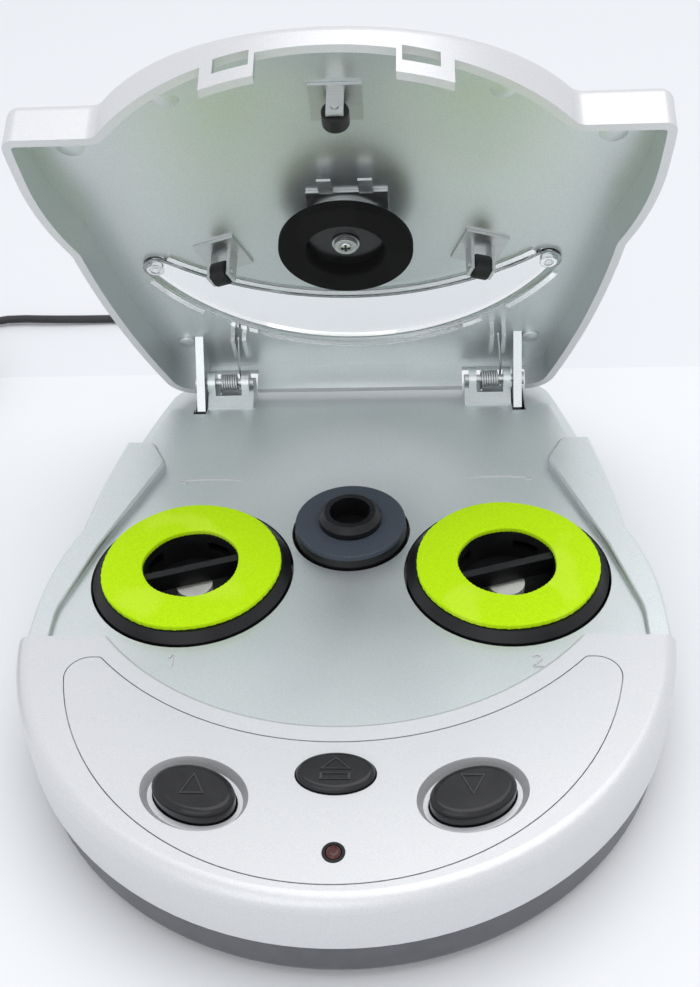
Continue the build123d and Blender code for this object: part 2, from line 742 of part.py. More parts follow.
with BuildPart() as top_shell:
    add(deck_block.part)
    add(wings.part)
    add(fascia.part)
    # shelf behind the deck, where the open lid's rear wall swings down
    with BuildSketch(level(DECK_Z - SHELF_DROP)):
        with Locations((0, SHELF_Y)):
            Rectangle(3 * BODY_R, BODY_R, align=(Align.CENTER, Align.MIN))
    extrude(amount=SHELF_DROP + OVERCUT, mode=Mode.SUBTRACT)
    # hollow inside, lower under the shelf
    with BuildSketch(level(SEAM_Z)):
        housing_outline(WALL, REAR_Y - WALL)
        with Locations((0, SHELF_Y - DECK_T)):
            Rectangle(3 * BODY_R, 3 * BODY_R, align=(Align.CENTER, Align.MAX), mode=Mode.INTERSECT)
    extrude(amount=UNDER_DECK - SEAM_Z, mode=Mode.SUBTRACT)
    with BuildSketch(level(SEAM_Z)):
        housing_outline(WALL, REAR_Y - WALL)
    extrude(amount=UNDER_DECK - SHELF_DROP - SEAM_Z, mode=Mode.SUBTRACT)
    add(fascia_hollow.part, mode=Mode.SUBTRACT)
    # screw columns down to the pan's
    with BuildSketch(level(BOSS_Z + BOSS_GAP)):
        with Locations(*BOSS_POINTS[:2]):
            Circle(BOSS_R)
    extrude(until=Until.NEXT)
    with BuildSketch(level(BOSS_Z + BOSS_GAP)):
        with Locations(*BOSS_POINTS[2:]):
            Circle(BOSS_R)
    extrude(amount=UNDER_DECK - BOSS_Z - BOSS_GAP)
    # wells of the pads and of the turntable
    with BuildSketch(level(UNDER_DECK - OVERCUT)):
        with Locations(PAD_POINTS["left"], PAD_POINTS["right"]):
            Circle(PAD_WELL_R)
        Circle(TABLE_WELL_R)
    extrude(amount=DECK_T + WING_REAR_RISE + 2 * OVERCUT, mode=Mode.SUBTRACT)
    # sloped hinge blocks with a notch for the spring
    for hand in (-1, 1):
        with BuildSketch(side(hand * BLOCK_X[0])):
            with BuildLine():
                Polyline(
                    (BLOCK_FOOT_Y, DECK_Z - SHELF_DROP - ROOT),
                    (BLOCK_FOOT_Y, DECK_Z + BLOCK_FACE_H),
                    (BLOCK_TOP_Y, BLOCK_TOP_Z),
                    (BLOCK_REAR_Y, BLOCK_TOP_Z),
                    (BLOCK_REAR_Y, DECK_Z - SHELF_DROP - ROOT),
                    close=True,
                )
            make_face()
        extrude(amount=hand * (BLOCK_X[1] - BLOCK_X[0]))
        for knuckle in KNUCKLES:
            with BuildSketch(side(hand * knuckle[0])):
                with Locations((HINGE_Y, HINGE_Z)):
                    Circle(KNUCKLE_R)
                with Locations((HINGE_Y, HINGE_Z)):
                    Rectangle(2 * KNUCKLE_R, HINGE_Z - BLOCK_TOP_Z + ROOT, align=(Align.CENTER, Align.MAX))
            extrude(amount=hand * (knuckle[1] - knuckle[0]))
        with BuildSketch(side(hand * NOTCH_X[0])):
            with Locations((NOTCH_FRONT_Y, NOTCH_Z)):
                Rectangle(
                    BLOCK_REAR_Y - NOTCH_FRONT_Y + OVERCUT,
                    HINGE_Z + KNUCKLE_R - NOTCH_Z + OVERCUT,
                    align=(Align.MIN, Align.MIN),
                )
        extrude(amount=hand * (BLOCK_X[1] - KNUCKLE_T - NOTCH_X[0]), mode=Mode.SUBTRACT)
        with BuildSketch(side(hand * (BLOCK_X[0] - OVERCUT))):
            with Locations((HINGE_Y, HINGE_Z)):
                Circle(PIN_R + PIN_FIT)
        extrude(amount=hand * (BLOCK_X[1] - BLOCK_X[0] + 2 * OVERCUT), mode=Mode.SUBTRACT)
        # slot that the lid's hinge arm passes down through
        with BuildSketch(level(UNDER_DECK - SHELF_DROP - OVERCUT)):
            with Locations((hand * (ARM_SLOT_X[0] + ARM_SLOT_X[1]) / 2, ARM_SLOT_Y[0])):
                Rectangle(
                    ARM_SLOT_X[1] - ARM_SLOT_X[0],
                    ARM_SLOT_Y[1] - ARM_SLOT_Y[0],
                    align=(Align.CENTER, Align.MIN),
                )
        extrude(amount=DECK_T + SHELF_DROP + 2 * OVERCUT, mode=Mode.SUBTRACT)
    # slots of the lid's catch tabs at the foot of the bay wall, and the latch's windows
    for hand in (-1, 1):
        with BuildSketch(level(UNDER_DECK - OVERCUT)):
            Circle(BAY_R)
            Circle(LID_FRONT_R - TAB_T - SLOT_GAP, mode=Mode.SUBTRACT)
            with Locations((hand * (TAB_X[0] + TAB_X[1]) / 2, -BAY_R)):
                Rectangle(TAB_X[1] - TAB_X[0] + 2 * SLOT_SIDE_GAP, BAY_R, mode=Mode.INTERSECT)
        extrude(amount=DECK_T + 2 * OVERCUT, mode=Mode.SUBTRACT)
        with BuildSketch(level(LATCH_Z[0] - SLOT_GAP)):
            with Locations((hand * (LATCH_X[0] + LATCH_X[1]) / 2, -BAY_R)):
                Rectangle(LATCH_X[1] - LATCH_X[0] + 2 * SLOT_GAP, BAY_R / 2)
            Circle(BAY_R - OVERCUT, mode=Mode.SUBTRACT)
            Circle(BAY_R + FASCIA_WALL + OVERCUT, mode=Mode.INTERSECT)
        extrude(amount=LATCH_Z[1] - LATCH_Z[0] + 2 * SLOT_GAP, mode=Mode.SUBTRACT)
    # room for the latch noses under the panel
    with BuildSketch(panel(LATCH_ROOF_T)):
        for hand in (-1, 1):
            with Locations((hand * (LATCH_X[0] + LATCH_X[1]) / 2, -BAY_R - SHOULDER_Y)):
                Rectangle(
                    LATCH_X[1] - LATCH_X[0] + 2 * SLOT_GAP,
                    2 * (-LATCH_NOSE_Y - BAY_R + LATCH_STROKE + SLOT_GAP),
                )
        with Locations((0, -SHOULDER_Y)):
            Circle(BAY_R + FASCIA_WALL, mode=Mode.SUBTRACT)
    extrude(amount=LATCH_ROOF_T - PANEL_T, mode=Mode.SUBTRACT)
    # pocket of the inlay, dishes and holes of the keys and of the lamp
    with BuildSketch(panel(INLAY_T)):
        kidney(0)
    extrude(amount=INLAY_T + OVERCUT, mode=Mode.SUBTRACT)
    for place in (CLEAN_KEY, REPAIR_KEY):
        with BuildSketch(panel(DISH_DEPTH)):
            key_ellipse(place, DISH_SEMI, -DISH_SLOPE_W)
        with BuildSketch(panel(0)):
            key_ellipse(place, DISH_SEMI, 0)
        loft(mode=Mode.SUBTRACT)
        with BuildSketch(panel(PANEL_T + OVERCUT)):
            key_ellipse(place, KEY_SEMI, KEY_GAP)
        extrude(amount=PANEL_T + 2 * OVERCUT, mode=Mode.SUBTRACT)
    with BuildSketch(panel(PANEL_T + OVERCUT)):
        key_ellipse(OPEN_KEY, OPEN_SEMI, KEY_GAP)
        with Locations((LED_POINT[0], LED_POINT[1] - SHOULDER_Y)):
            Circle(BEZEL_R + BEZEL_FIT)
    extrude(amount=PANEL_T + 2 * OVERCUT, mode=Mode.SUBTRACT)
    top_shell.part.label = "top_shell"
export_step(top_shell.part, "parts/top_shell.step")
print("shell", top_shell.part.volume, "solids", len(top_shell.solids()), top_shell.part.is_valid)

for index, point in enumerate(FOOT_POINTS, start=1):
    with BuildPart() as foot:
        with BuildSketch(level(0)):
            with Locations(point):
                Circle(FOOT_R)
        extrude(amount=FOOT_H)
        fillet(foot.faces().sort_by(Axis.Z)[0].edges(), FOOT_EDGE_R)
        foot.part.label = f"foot_{index}"
    export_step(foot.part, f"parts/foot_{index}.step")

# ================================================================ control panel
with BuildPart() as panel_inlay:
    with BuildSketch(panel(INLAY_T - INLAY_SEAT)):
        kidney(INLAY_GAP)
    extrude(amount=INLAY_T - INLAY_SEAT)
    for place in (CLEAN_KEY, REPAIR_KEY):
        with BuildSketch(panel(DISH_DEPTH)):
            key_ellipse(place, DISH_SEMI, -DISH_SLOPE_W)
        with BuildSketch(panel(0)):
            key_ellipse(place, DISH_SEMI, 0)
        loft(mode=Mode.SUBTRACT)
    with BuildSketch(panel(PANEL_T)):
        key_ellipse(OPEN_KEY, OPEN_SEMI, KEY_GAP)
        with Locations((LED_POINT[0], LED_POINT[1] - SHOULDER_Y)):
            Circle(BEZEL_R + BEZEL_FIT)
    extrude(amount=PANEL_T + OVERCUT, mode=Mode.SUBTRACT)
    panel_inlay.part.label = "panel_inlay"
export_step(panel_inlay.part, "parts/panel_inlay.step")

BOARD_FLOOR_Z = BOARD_TOP_Z - BOARD_T
with BuildPart() as circuit_board:
    with BuildSketch(level(BOARD_FLOOR_Z)):
        with Locations((0, BOARD_Y)):
            RectangleRounded(BOARD_SIZE[0], BOARD_SIZE[1], BOARD_CORNER_R)
    extrude(amount=BOARD_T)
    circuit_board.part.label = "circuit_board"
export_step(circuit_board.part, "parts/circuit_board.step")


def panel_height(y):
    """Height of the panel's surface at a distance from the spindle."""
    return PANEL_Z + (y - SHOULDER_Y) * tan(radians(PANEL_TILT))


KEYS = {
    "clean_key": (CLEAN_KEY, KEY_SEMI, KEY_RISE),
    "repair_key": (REPAIR_KEY, KEY_SEMI, KEY_RISE),
    "open_key": (OPEN_KEY, OPEN_SEMI, OPEN_RISE),
}
for name, (place, semi, rise) in KEYS.items():
    switch_top = panel_height(place[1]) - PANEL_T - KEY_FLANGE_T - KEY_GAP - SWITCH_GAP - KEY_STUB_H
    if name != "open_key":
        with BuildPart() as switch:
            with BuildSketch(level(BOARD_TOP_Z)):
                with Locations((place[0], place[1])):
                    Rectangle(SWITCH_SIZE, SWITCH_SIZE)
            extrude(amount=switch_top - BOARD_TOP_Z - SWITCH_CAP_H)
            with BuildSketch(level(switch_top - SWITCH_CAP_H)):
                with Locations((place[0], place[1])):
                    Circle(SWITCH_CAP_R)
            extrude(amount=SWITCH_CAP_H)
            switch.part.label = name.replace("key", "switch")
        export_step(switch.part, f"parts/{switch.part.label}.step")
    with BuildPart() as key:
        with BuildSketch(panel(PANEL_T + KEY_GAP)):
            key_ellipse(place, semi, 0)
        extrude(amount=PANEL_T + KEY_GAP + rise)
        fillet(key.faces().sort_by(Axis.Z)[-1].edges(), min(KEY_EDGE_R, rise - KEY_EDGE_LAND))
        with BuildSketch(panel(PANEL_T + KEY_GAP)):
            key_ellipse(place, semi, KEY_FLANGE)
        extrude(amount=-KEY_FLANGE_T)
        with BuildSketch(panel(PANEL_T + KEY_GAP + KEY_FLANGE_T)):
            with Locations((place[0], place[1] - SHOULDER_Y)):
                Circle(KEY_STUB_R)
        extrude(amount=-KEY_STUB_H)
        key.part.label = name
    export_step(key.part, f"parts/{name}.step")

with BuildPart() as lamp_bezel:
    with BuildSketch(panel(PANEL_T)):
        with Locations((LED_POINT[0], LED_POINT[1] - SHOULDER_Y)):
            Circle(BEZEL_R)
            Circle(LED_R + BEZEL_FIT, mode=Mode.SUBTRACT)
    extrude(amount=PANEL_T + BEZEL_RISE)
    lamp_bezel.part.label = "lamp_bezel"
export_step(lamp_bezel.part, "parts/lamp_bezel.step")

with BuildPart() as lamp:
    with BuildSketch(panel(0)):
        with Locations((LED_POINT[0], LED_POINT[1] - SHOULDER_Y)):
            Circle(LED_R)
    extrude(amount=BOARD_TOP_Z + LAMP_BASE_H - ROOT - panel_height(LED_POINT[1]))
    extrude(lamp.faces().sort_by(Axis.Z)[-1], amount=LAMP_RISE)
    fillet(lamp.faces().sort_by(Axis.Z)[-1].edges(), LAMP_DOME_R)
    with BuildSketch(level(BOARD_TOP_Z)):
        with Locations(LED_POINT):
            Circle(LED_R + LAMP_BASE_W)
    extrude(amount=LAMP_BASE_H)
    lamp.part.label = "lamp"
export_step(lamp.part, "parts/lamp.step")

# Latch: a bar under the panel with two noses that look through the bay wall.
with BuildPart() as latch_slide:
    with BuildSketch(level(LATCH_BAR_Z)):
        with Locations((0, LATCH_BAR_Y)):
            Rectangle(2 * LATCH_X[1], LATCH_BAR_W)
    extrude(amount=LATCH_BAR_T)
    nose_x = (LATCH_X[0] + LATCH_X[1]) / 2
    for low_z, high_z, nose_front, bay_gap in (
        (LATCH_BAR_Z, LATCH_RISER_Z, LATCH_BAR_Y - LATCH_BAR_W / 2, FASCIA_WALL + LATCH_STROKE),
        (LATCH_Z[0], LATCH_Z[1], LATCH_NOSE_Y, LATCH_BACK_GAP),
    ):
        with BuildSketch(level(low_z)):
            with Locations((-nose_x, nose_front), (nose_x, nose_front)):
                Rectangle(LATCH_X[1] - LATCH_X[0], BAY_R / 2, align=(Align.CENTER, Align.MIN))
            Circle(BAY_R + bay_gap, mode=Mode.SUBTRACT)
        extrude(amount=high_z - low_z)
    latch_slide.part.label = "latch_slide"
export_step(latch_slide.part, "parts/latch_slide.step")
print("latch", latch_slide.part.bounding_box(), len(latch_slide.solids()))

# ================================================================ drive
with BuildPart() as gear_plate:
    with BuildSketch(level(PLATE_Z)):
        with Locations(PAD_POINTS["left"], PAD_POINTS["right"]):
            Circle(PLATE_PAD_R)
        with Locations(IDLER_POINT):
            Circle(PLATE_IDLER_R)
        Circle(PLATE_HUB_R)
        for point in (PAD_POINTS["left"], PAD_POINTS["right"], IDLER_POINT):
            with BuildLine() as arm:
                Line((0, 0), point)
            trace(arm.line, line_width=PLATE_ARM_W)
    extrude(amount=PLATE_T)
    # fixed axles: short ones under the pads' closed hubs, long ones through the other gears
    for points, top_z in (
        (PAD_POINTS.values(), DRIVE_HUB_Z - DRIVE_CAP_T - AXLE_TOP_GAP),
        (((0, 0), IDLER_POINT), UPPER_GEAR_Z + UPPER_GEAR_T - AXLE_SHORT),
    ):
        with BuildSketch(level(PLATE_Z + PLATE_T)):
            with Locations(*points):
                Circle(AXLE_R)
        extrude(amount=top_z - PLATE_Z - PLATE_T)
    gear_plate.part.label = "gear_plate"
export_step(gear_plate.part, "parts/gear_plate.step")

COLLAR_Z = PLATE_Z + PLATE_T + SEAT_GAP
with BuildPart() as spindle_gear:
    with BuildSketch(level(GEAR_Z)):
        gear_outline(SPINDLE_TEETH, SPINDLE_PHASE, (0, 0))
        with PolarLocations(GEAR_HOLE_REACH, GEAR_HOLES):
            Circle(GEAR_HOLE_R, mode=Mode.SUBTRACT)
    extrude(amount=GEAR_T)
    with BuildSketch(level(COLLAR_Z)):
        Circle(COLLAR_R)
    extrude(amount=GEAR_Z - COLLAR_Z)
    with BuildSketch(level(GEAR_Z + GEAR_T)):
        Circle(SPINDLE_COLLAR_R)
    extrude(amount=HUB_WELL_Z - HUB_CAP_T - SEAT_GAP - GEAR_Z - GEAR_T)
    with BuildSketch(level(COLLAR_Z)):
        Circle(AXLE_R + AXLE_FIT)
    extrude(amount=UPPER_GEAR_Z + UPPER_GEAR_T - COLLAR_Z, mode=Mode.SUBTRACT)
    spindle_gear.part.label = "spindle_gear"
export_step(spindle_gear.part, "parts/spindle_gear.step")

TABLE_Z = DISC_Z - TABLE_T
with BuildPart() as spindle_hub:
    with BuildSketch(side(0)):
        with BuildLine():
            Polyline(
                (SPINDLE_COLLAR_R + AXLE_FIT, GEAR_Z + GEAR_T),
                (HUB_SLEEVE_R, GEAR_Z + GEAR_T),
                (HUB_SLEEVE_R, DECK_Z - TABLE_SKIRT_DROP),
                (TABLE_SKIRT_R, DECK_Z - TABLE_SKIRT_DROP),
                (TABLE_SKIRT_R, DECK_Z + TABLE_SKIRT_RISE),
                (TABLE_R, TABLE_Z),
                (HUB_NECK_R, TABLE_Z),
                (HUB_NECK_R, DISC_Z + HUB_NECK_RISE),
                (HUB_R, DISC_Z + HUB_NECK_RISE),
                (HUB_R, DISC_Z + HUB_STRAIGHT_H),
                (HUB_TIP_R, DISC_Z + HUB_H),
                (HUB_WELL_R, DISC_Z + HUB_H),
                (HUB_WELL_R, HUB_WELL_Z),
                (0, HUB_WELL_Z),
                (0, HUB_WELL_Z - HUB_CAP_T),
                (SPINDLE_COLLAR_R + AXLE_FIT, HUB_WELL_Z - HUB_CAP_T),
                close=True,
            )
        make_face()
    revolve(axis=Axis((0, SPINDLE_Y, 0), (0, 0, 1)))
    spindle_hub.part.label = "spindle_hub"
export_step(spindle_hub.part, "parts/spindle_hub.step")

with BuildPart() as turntable_ring:
    with BuildSketch(level(TABLE_Z)):
        Circle(TABLE_R)
        Circle(HUB_R + RING_FIT, mode=Mode.SUBTRACT)
    extrude(amount=TABLE_T)
    fillet(turntable_ring.edges().group_by(Axis.Z)[-1].sort_by(SortBy.RADIUS)[-1], TABLE_EDGE_R)
    turntable_ring.part.label = "turntable_ring"
export_step(turntable_ring.part, "parts/turntable_ring.step")

HOLDER_TOP_Z = DISC_Z - PAD_T
PAD_AXES = {"left": 180 - PAD_ANGLE, "right": PAD_ANGLE}
for hand, centre in PAD_POINTS.items():
    phase = meshed(PAD_AXES[hand], SPINDLE_PHASE, SPINDLE_TEETH, PAD_TEETH)
    with BuildPart() as pad_gear:
        with BuildSketch(level(GEAR_Z)):
            gear_outline(PAD_TEETH, phase, centre)
        extrude(amount=GEAR_T)
        with BuildSketch(level(COLLAR_Z)):
            with Locations(centre):
                Circle(COLLAR_R)
        extrude(amount=GEAR_Z - COLLAR_Z)
        with BuildSketch(level(GEAR_Z + GEAR_T)):
            with Locations(centre):
                Circle(DRIVE_HUB_R)
        extrude(amount=DRIVE_HUB_Z - GEAR_Z - GEAR_T)
        with BuildSketch(level(COLLAR_Z)):
            with Locations(centre):
                Circle(AXLE_R + AXLE_FIT)
        extrude(amount=DRIVE_HUB_Z - COLLAR_Z - DRIVE_CAP_T, mode=Mode.SUBTRACT)
        pad_gear.part.label = f"pad_gear_{hand}"
    export_step(pad_gear.part, f"parts/pad_gear_{hand}.step")

    axle = Axis((centre[0], SPINDLE_Y + centre[1], 0), (0, 0, 1))
    floor_z = GEAR_Z + GEAR_T
    section = Plane(origin=(centre[0], SPINDLE_Y + centre[1], 0), x_dir=(1, 0, 0), z_dir=(0, -1, 0))
    with BuildPart() as pad_holder:
        with BuildSketch(section):
            with BuildLine():
                Polyline(
                    (HOLDER_R, HOLDER_LOW_Z),
                    (HOLDER_R, DECK_Z + HOLDER_SHOULDER_H),
                    (PAD_R + HOLDER_RIM_W, HOLDER_TOP_Z),
                    (PAD_HOLE_R, HOLDER_TOP_Z),
                    (PAD_HOLE_R, floor_z + HOLDER_FLOOR_T),
                    (DRIVE_HUB_R + AXLE_FIT, floor_z + HOLDER_FLOOR_T),
                    (DRIVE_HUB_R + AXLE_FIT, floor_z),
                    (PAD_HOLE_R + HOLDER_WALL, floor_z),
                    (PAD_HOLE_R + HOLDER_WALL, HOLDER_TOP_Z - HOLDER_WALL),
                    (HOLDER_SLOPE_R, HOLDER_TOP_Z - HOLDER_WALL),
                    (HOLDER_R - HOLDER_WALL, DECK_Z - HOLDER_SLOPE_DROP),
                    (HOLDER_R - HOLDER_WALL, HOLDER_LOW_Z),
                    close=True,
                )
            make_face()
        revolve(axis=axle)
        with BuildSketch(level(GRIP_LOW_Z)):
            with Locations(Location((centre[0], centre[1], 0), (0, 0, GRIP_TURN))):
                Rectangle(2 * PAD_HOLE_R + HOLDER_WALL, GRIP_W)
        extrude(amount=HOLDER_TOP_Z - GRIP_DROP - GRIP_LOW_Z)
        # four clip windows in the inner wall
        with BuildSketch(level(floor_z + HOLDER_FLOOR_T + CLIP_LIFT)):
            with Locations(centre):
                with PolarLocations(PAD_HOLE_R + HOLDER_WALL / 2, 4, start_angle=GRIP_TURN + CLIP_TURN):
                    Rectangle(3 * HOLDER_WALL, CLIP_WINDOW[0])
        extrude(amount=CLIP_WINDOW[1], mode=Mode.SUBTRACT)
        pad_holder.part.label = f"pad_holder_{hand}"
    export_step(pad_holder.part, f"parts/pad_holder_{hand}.step")

    with BuildPart() as pad:
        with BuildSketch(level(HOLDER_TOP_Z)):
            with Locations(centre):
                Circle(PAD_R)
                Circle(PAD_HOLE_R, mode=Mode.SUBTRACT)
        extrude(amount=PAD_T)
        fillet(pad.edges().group_by(Axis.Z)[-1], PAD_EDGE_R)
        pad.part.label = f"pad_{hand}"
    export_step(pad.part, f"parts/pad_{hand}.step")

idler_phase = meshed(IDLER_ANGLE, SPINDLE_PHASE, SPINDLE_TEETH, IDLER_SMALL_TEETH)
with BuildPart() as idler_gear:
    with BuildSketch(level(GEAR_Z - GEAR_OVERLAP)):
        gear_outline(IDLER_SMALL_TEETH, idler_phase, IDLER_POINT)
    extrude(amount=UPPER_GEAR_Z - GEAR_Z + GEAR_OVERLAP)
    with BuildSketch(level(UPPER_GEAR_Z)):
        gear_outline(IDLER_LARGE_TEETH, idler_phase, IDLER_POINT)
    extrude(amount=UPPER_GEAR_T)
    with BuildSketch(level(COLLAR_Z)):
        with Locations(IDLER_POINT):
            Circle(COLLAR_R)
    extrude(amount=GEAR_Z - COLLAR_Z)
    with BuildSketch(level(COLLAR_Z)):
        with Locations(IDLER_POINT):
            Circle(AXLE_R + AXLE_FIT)
    extrude(amount=UPPER_GEAR_Z + UPPER_GEAR_T, mode=Mode.SUBTRACT)
    idler_gear.part.label = "idler_gear"
export_step(idler_gear.part, "parts/idler_gear.step")

pinion_phase = meshed(PINION_ANGLE, idler_phase, IDLER_LARGE_TEETH, PINION_TEETH)
with BuildPart() as motor_pinion:
    with BuildSketch(level(UPPER_GEAR_Z - GEAR_OVERLAP)):
        gear_outline(PINION_TEETH, pinion_phase, PINION_POINT)
    extrude(amount=UPPER_GEAR_T + 2 * GEAR_OVERLAP)
    with BuildSketch(level(MOTOR_TOP_Z - SHAFT_DEPTH)):
        with Locations(PINION_POINT):
            Circle(MOTOR_SHAFT_R)
    extrude(amount=UPPER_GEAR_Z - MOTOR_TOP_Z + SHAFT_DEPTH)
    motor_pinion.part.label = "motor_pinion"
export_step(motor_pinion.part, "parts/motor_pinion.step")

with BuildPart() as motor:
    with BuildSketch(level(FOOT_H + PAN_FLOOR)):
        with Locations(PINION_POINT):
            Circle(MOTOR_R)
    extrude(amount=MOTOR_TOP_Z - FOOT_H - PAN_FLOOR)
    fillet(motor.edges(), MOTOR_EDGE_R)
    with BuildSketch(level(MOTOR_TOP_Z)):
        with Locations(PINION_POINT):
            Circle(MOTOR_BOSS_R)
    extrude(amount=MOTOR_BOSS_H)
    with BuildSketch(level(MOTOR_TOP_Z - SHAFT_DEPTH - SHAFT_GAP)):
        with Locations(PINION_POINT):
            Circle(MOTOR_SHAFT_R + AXLE_FIT)
    extrude(amount=SHAFT_DEPTH + SHAFT_GAP + OVERCUT, mode=Mode.SUBTRACT)
    motor.part.label = "motor"
export_step(motor.part, "parts/motor.step")

# ================================================================ lid
def lid_outline(inset):
    """Plan of the lid: the housing's ears and lobe, and the round front that fills the bay."""
    housing_outline(LID_INSET + inset, LID_REAR_Y - inset)
    with Locations((0, LID_EAR_Y + inset)):
        Rectangle(3 * BODY_R, 3 * BODY_R, align=(Align.CENTER, Align.MIN), mode=Mode.INTERSECT)
    ears = vertices().group_by(Axis.Y)[0]
    fillet(ears, EAR_CORNER_R - inset)
    with BuildSketch(mode=Mode.PRIVATE) as front_disc:
        Circle(LID_FRONT_R - inset)
        with Locations((0, EAR_Y)):
            Rectangle(3 * BODY_R, BODY_R, align=(Align.CENTER, Align.MAX), mode=Mode.INTERSECT)
    add(front_disc.sketch)
    root_x = LID_FRONT_R - EAR_ROOT_R
    roots = vertices().filter_by(lambda v: abs(v.Y - LID_EAR_Y - inset) < 0.01 and abs(v.X) < root_x)
    fillet(roots, EAR_ROOT_R + inset)


def crown_band(depth):
    """Section under the crown at a depth, in the plane across X."""
    top_r = CROWN_R - depth
    brow_r = BROW_R - depth
    fall = asin((CROWN_Y - BROW_Y) / CROWN_R)
    seam = (CROWN_MID[0] - top_r * sin(fall), CROWN_MID[1] + top_r * cos(fall))
    turn = (fall + BROW_SWEEP) / 2
    with BuildLine() as path:
        rise = asin((2 * LID_REAR_Y - CROWN_Y) / top_r)
        back = (CROWN_MID[0] + top_r * sin(rise), CROWN_MID[1] + top_r * cos(rise))
        mid = (CROWN_MID[0], CROWN_MID[1] + top_r)
        front_end = (BROW_MID[0] - brow_r * sin(BROW_SWEEP), BROW_MID[1] + brow_r * cos(BROW_SWEEP))
        brow_mid = (BROW_MID[0] - brow_r * sin(turn), BROW_MID[1] + brow_r * cos(turn))
        ThreePointArc(back, mid, seam)
        ThreePointArc(seam, brow_mid, front_end)
        Line(front_end, (front_end[0], -LID_FRONT_R))
        Line((front_end[0], -LID_FRONT_R), (back[0], -LID_FRONT_R))
        Line((back[0], -LID_FRONT_R), back)
    make_face(path.edges())


def crown_layer(depth, thickness):
    """Slab that follows the crown, its top at a depth under the lid's outer face."""
    with BuildPart() as slab:
        with BuildSketch(lid_side(-BODY_R)):
            crown_band(depth)
            with BuildSketch(mode=Mode.PRIVATE) as below:
                crown_band(depth + thickness)
            add(below.sketch, mode=Mode.SUBTRACT)
        extrude(amount=2 * BODY_R)
    return slab.part


def under_crown(depth):
    """Everything under the crown at a depth."""
    with BuildPart() as block:
        with BuildSketch(lid_side(-BODY_R)):
            crown_band(depth)
        extrude(amount=2 * BODY_R)
    return block.part


def crown_ceiling(y):
    return crown_height(y, LID_WALL)


with BuildPart() as lid_core:
    with BuildSketch(lid_level(RIM_Z - OVERCUT)):
        lid_outline(LID_WALL)
    extrude(amount=CROWN_Z - RIM_Z + 2 * OVERCUT)
    add(under_crown(LID_WALL), mode=Mode.INTERSECT)

ARM_SHAPE = [
    (0.8, -8.7),
    (2.6, -8.9),
    (3.6, -6.0),
    (3.9, -0.2),
]
with BuildPart() as lid:
    with BuildSketch(lid_level(RIM_Z)):
        lid_outline(0)
    extrude(amount=CROWN_Z - RIM_Z + OVERCUT)
    add(under_crown(0), mode=Mode.INTERSECT)
    crown = lid.faces().filter_by(GeomType.CYLINDER).sort_by(SortBy.AREA)[-2:]
    rims = [edge for face in crown for edge in face.edges()]
    fillet([edge for edge in rims if sum(edge.is_same(other) for other in rims) == 1], LID_EDGE_R)
    add(lid_core.part, mode=Mode.SUBTRACT)
    # the rear wall is open where the hinge blocks stand
    for hand in (-1, 1):
        with BuildSketch(lid_level(RIM_Z - OVERCUT)):
            with Locations((hand * (BLOCK_X[0] - SLOT_GAP), LID_REAR_Y + OVERCUT)):
                Rectangle(
                    ARM_SLOT_X[1] - BLOCK_X[0] + 2 * SLOT_GAP,
                    LID_WALL + 2 * OVERCUT,
                    align=(Align.MIN if hand > 0 else Align.MAX, Align.MAX),
                )
        extrude(amount=crown_ceiling(LID_REAR_Y) - RIM_Z - REAR_CUT_GAP, mode=Mode.SUBTRACT)
    # hinge arms
    for hand in (-1, 1):
        with BuildSketch(lid_side(hand * ARM_X[0])):
            with BuildLine():
                Polyline(
                    *[(HINGE_Y + y, HINGE_Z + z) for y, z in ARM_SHAPE],
                    (HINGE_Y + ARM_BACK, crown_ceiling(HINGE_Y) + LID_ROOT),
                    (HINGE_Y - ARM_REACH, crown_ceiling(HINGE_Y - ARM_REACH) + LID_ROOT),
                    close=True,
                )
            make_face()
            with Locations((HINGE_Y, HINGE_Z)):
                Circle(PIN_R + PIN_FIT, mode=Mode.SUBTRACT)
        extrude(amount=hand * (ARM_X[1] - ARM_X[0]))
    # twin ribs that hold the straight leg of each spring
    for leg_x in LEG_RIBS.values():
        rib_y = HINGE_Y - RIB_BACK
        for offset_x in (-RIB_GAP, RIB_GAP):
            with BuildSketch(lid_side(leg_x + offset_x - RIB_T / 2)):
                with BuildLine():
                    Polyline(
                        (rib_y, crown_ceiling(rib_y) + LID_ROOT),
                        (rib_y, crown_ceiling(rib_y) - RIB_NOSE_H),
                        (rib_y - RIB_H, crown_ceiling(rib_y) - RIB_H),
                        (rib_y - RIB_LENGTH, crown_ceiling(rib_y) - RIB_H),
                        (rib_y - RIB_LENGTH, crown_ceiling(rib_y - RIB_LENGTH) + LID_ROOT),
                        close=True,
                    )
                make_face()
            extrude(amount=RIB_T)
    # catch tabs with their windows
    for hand in (-1, 1):
        middle = hand * (TAB_X[0] + TAB_X[1]) / 2
        with BuildSketch(lid_level(RIM_Z - TAB_DROP)):
            Circle(LID_FRONT_R)
            Circle(LID_FRONT_R - TAB_T, mode=Mode.SUBTRACT)
            with Locations((middle, -LID_FRONT_R)):
                Rectangle(TAB_X[1] - TAB_X[0], LID_FRONT_R, mode=Mode.INTERSECT)
        extrude(amount=TAB_DROP + 2 * ROOT)
        with BuildSketch(lid_level(RIM_Z - WINDOW_Z[1])):
            with Locations((hand * (WINDOW_X[0] + WINDOW_X[1]) / 2, -LID_FRONT_R)):
                Rectangle(WINDOW_X[1] - WINDOW_X[0], LID_FRONT_R / 2)
        extrude(amount=WINDOW_Z[0] + WINDOW_Z[1], mode=Mode.SUBTRACT)
    # opening of the window
    with BuildSketch(lid_level(RIM_Z)):
        crescent(PANE_GAP)
    extrude(amount=CROWN_Z - RIM_Z + 2 * OVERCUT, mode=Mode.SUBTRACT)
    lid.part.label = "lid"
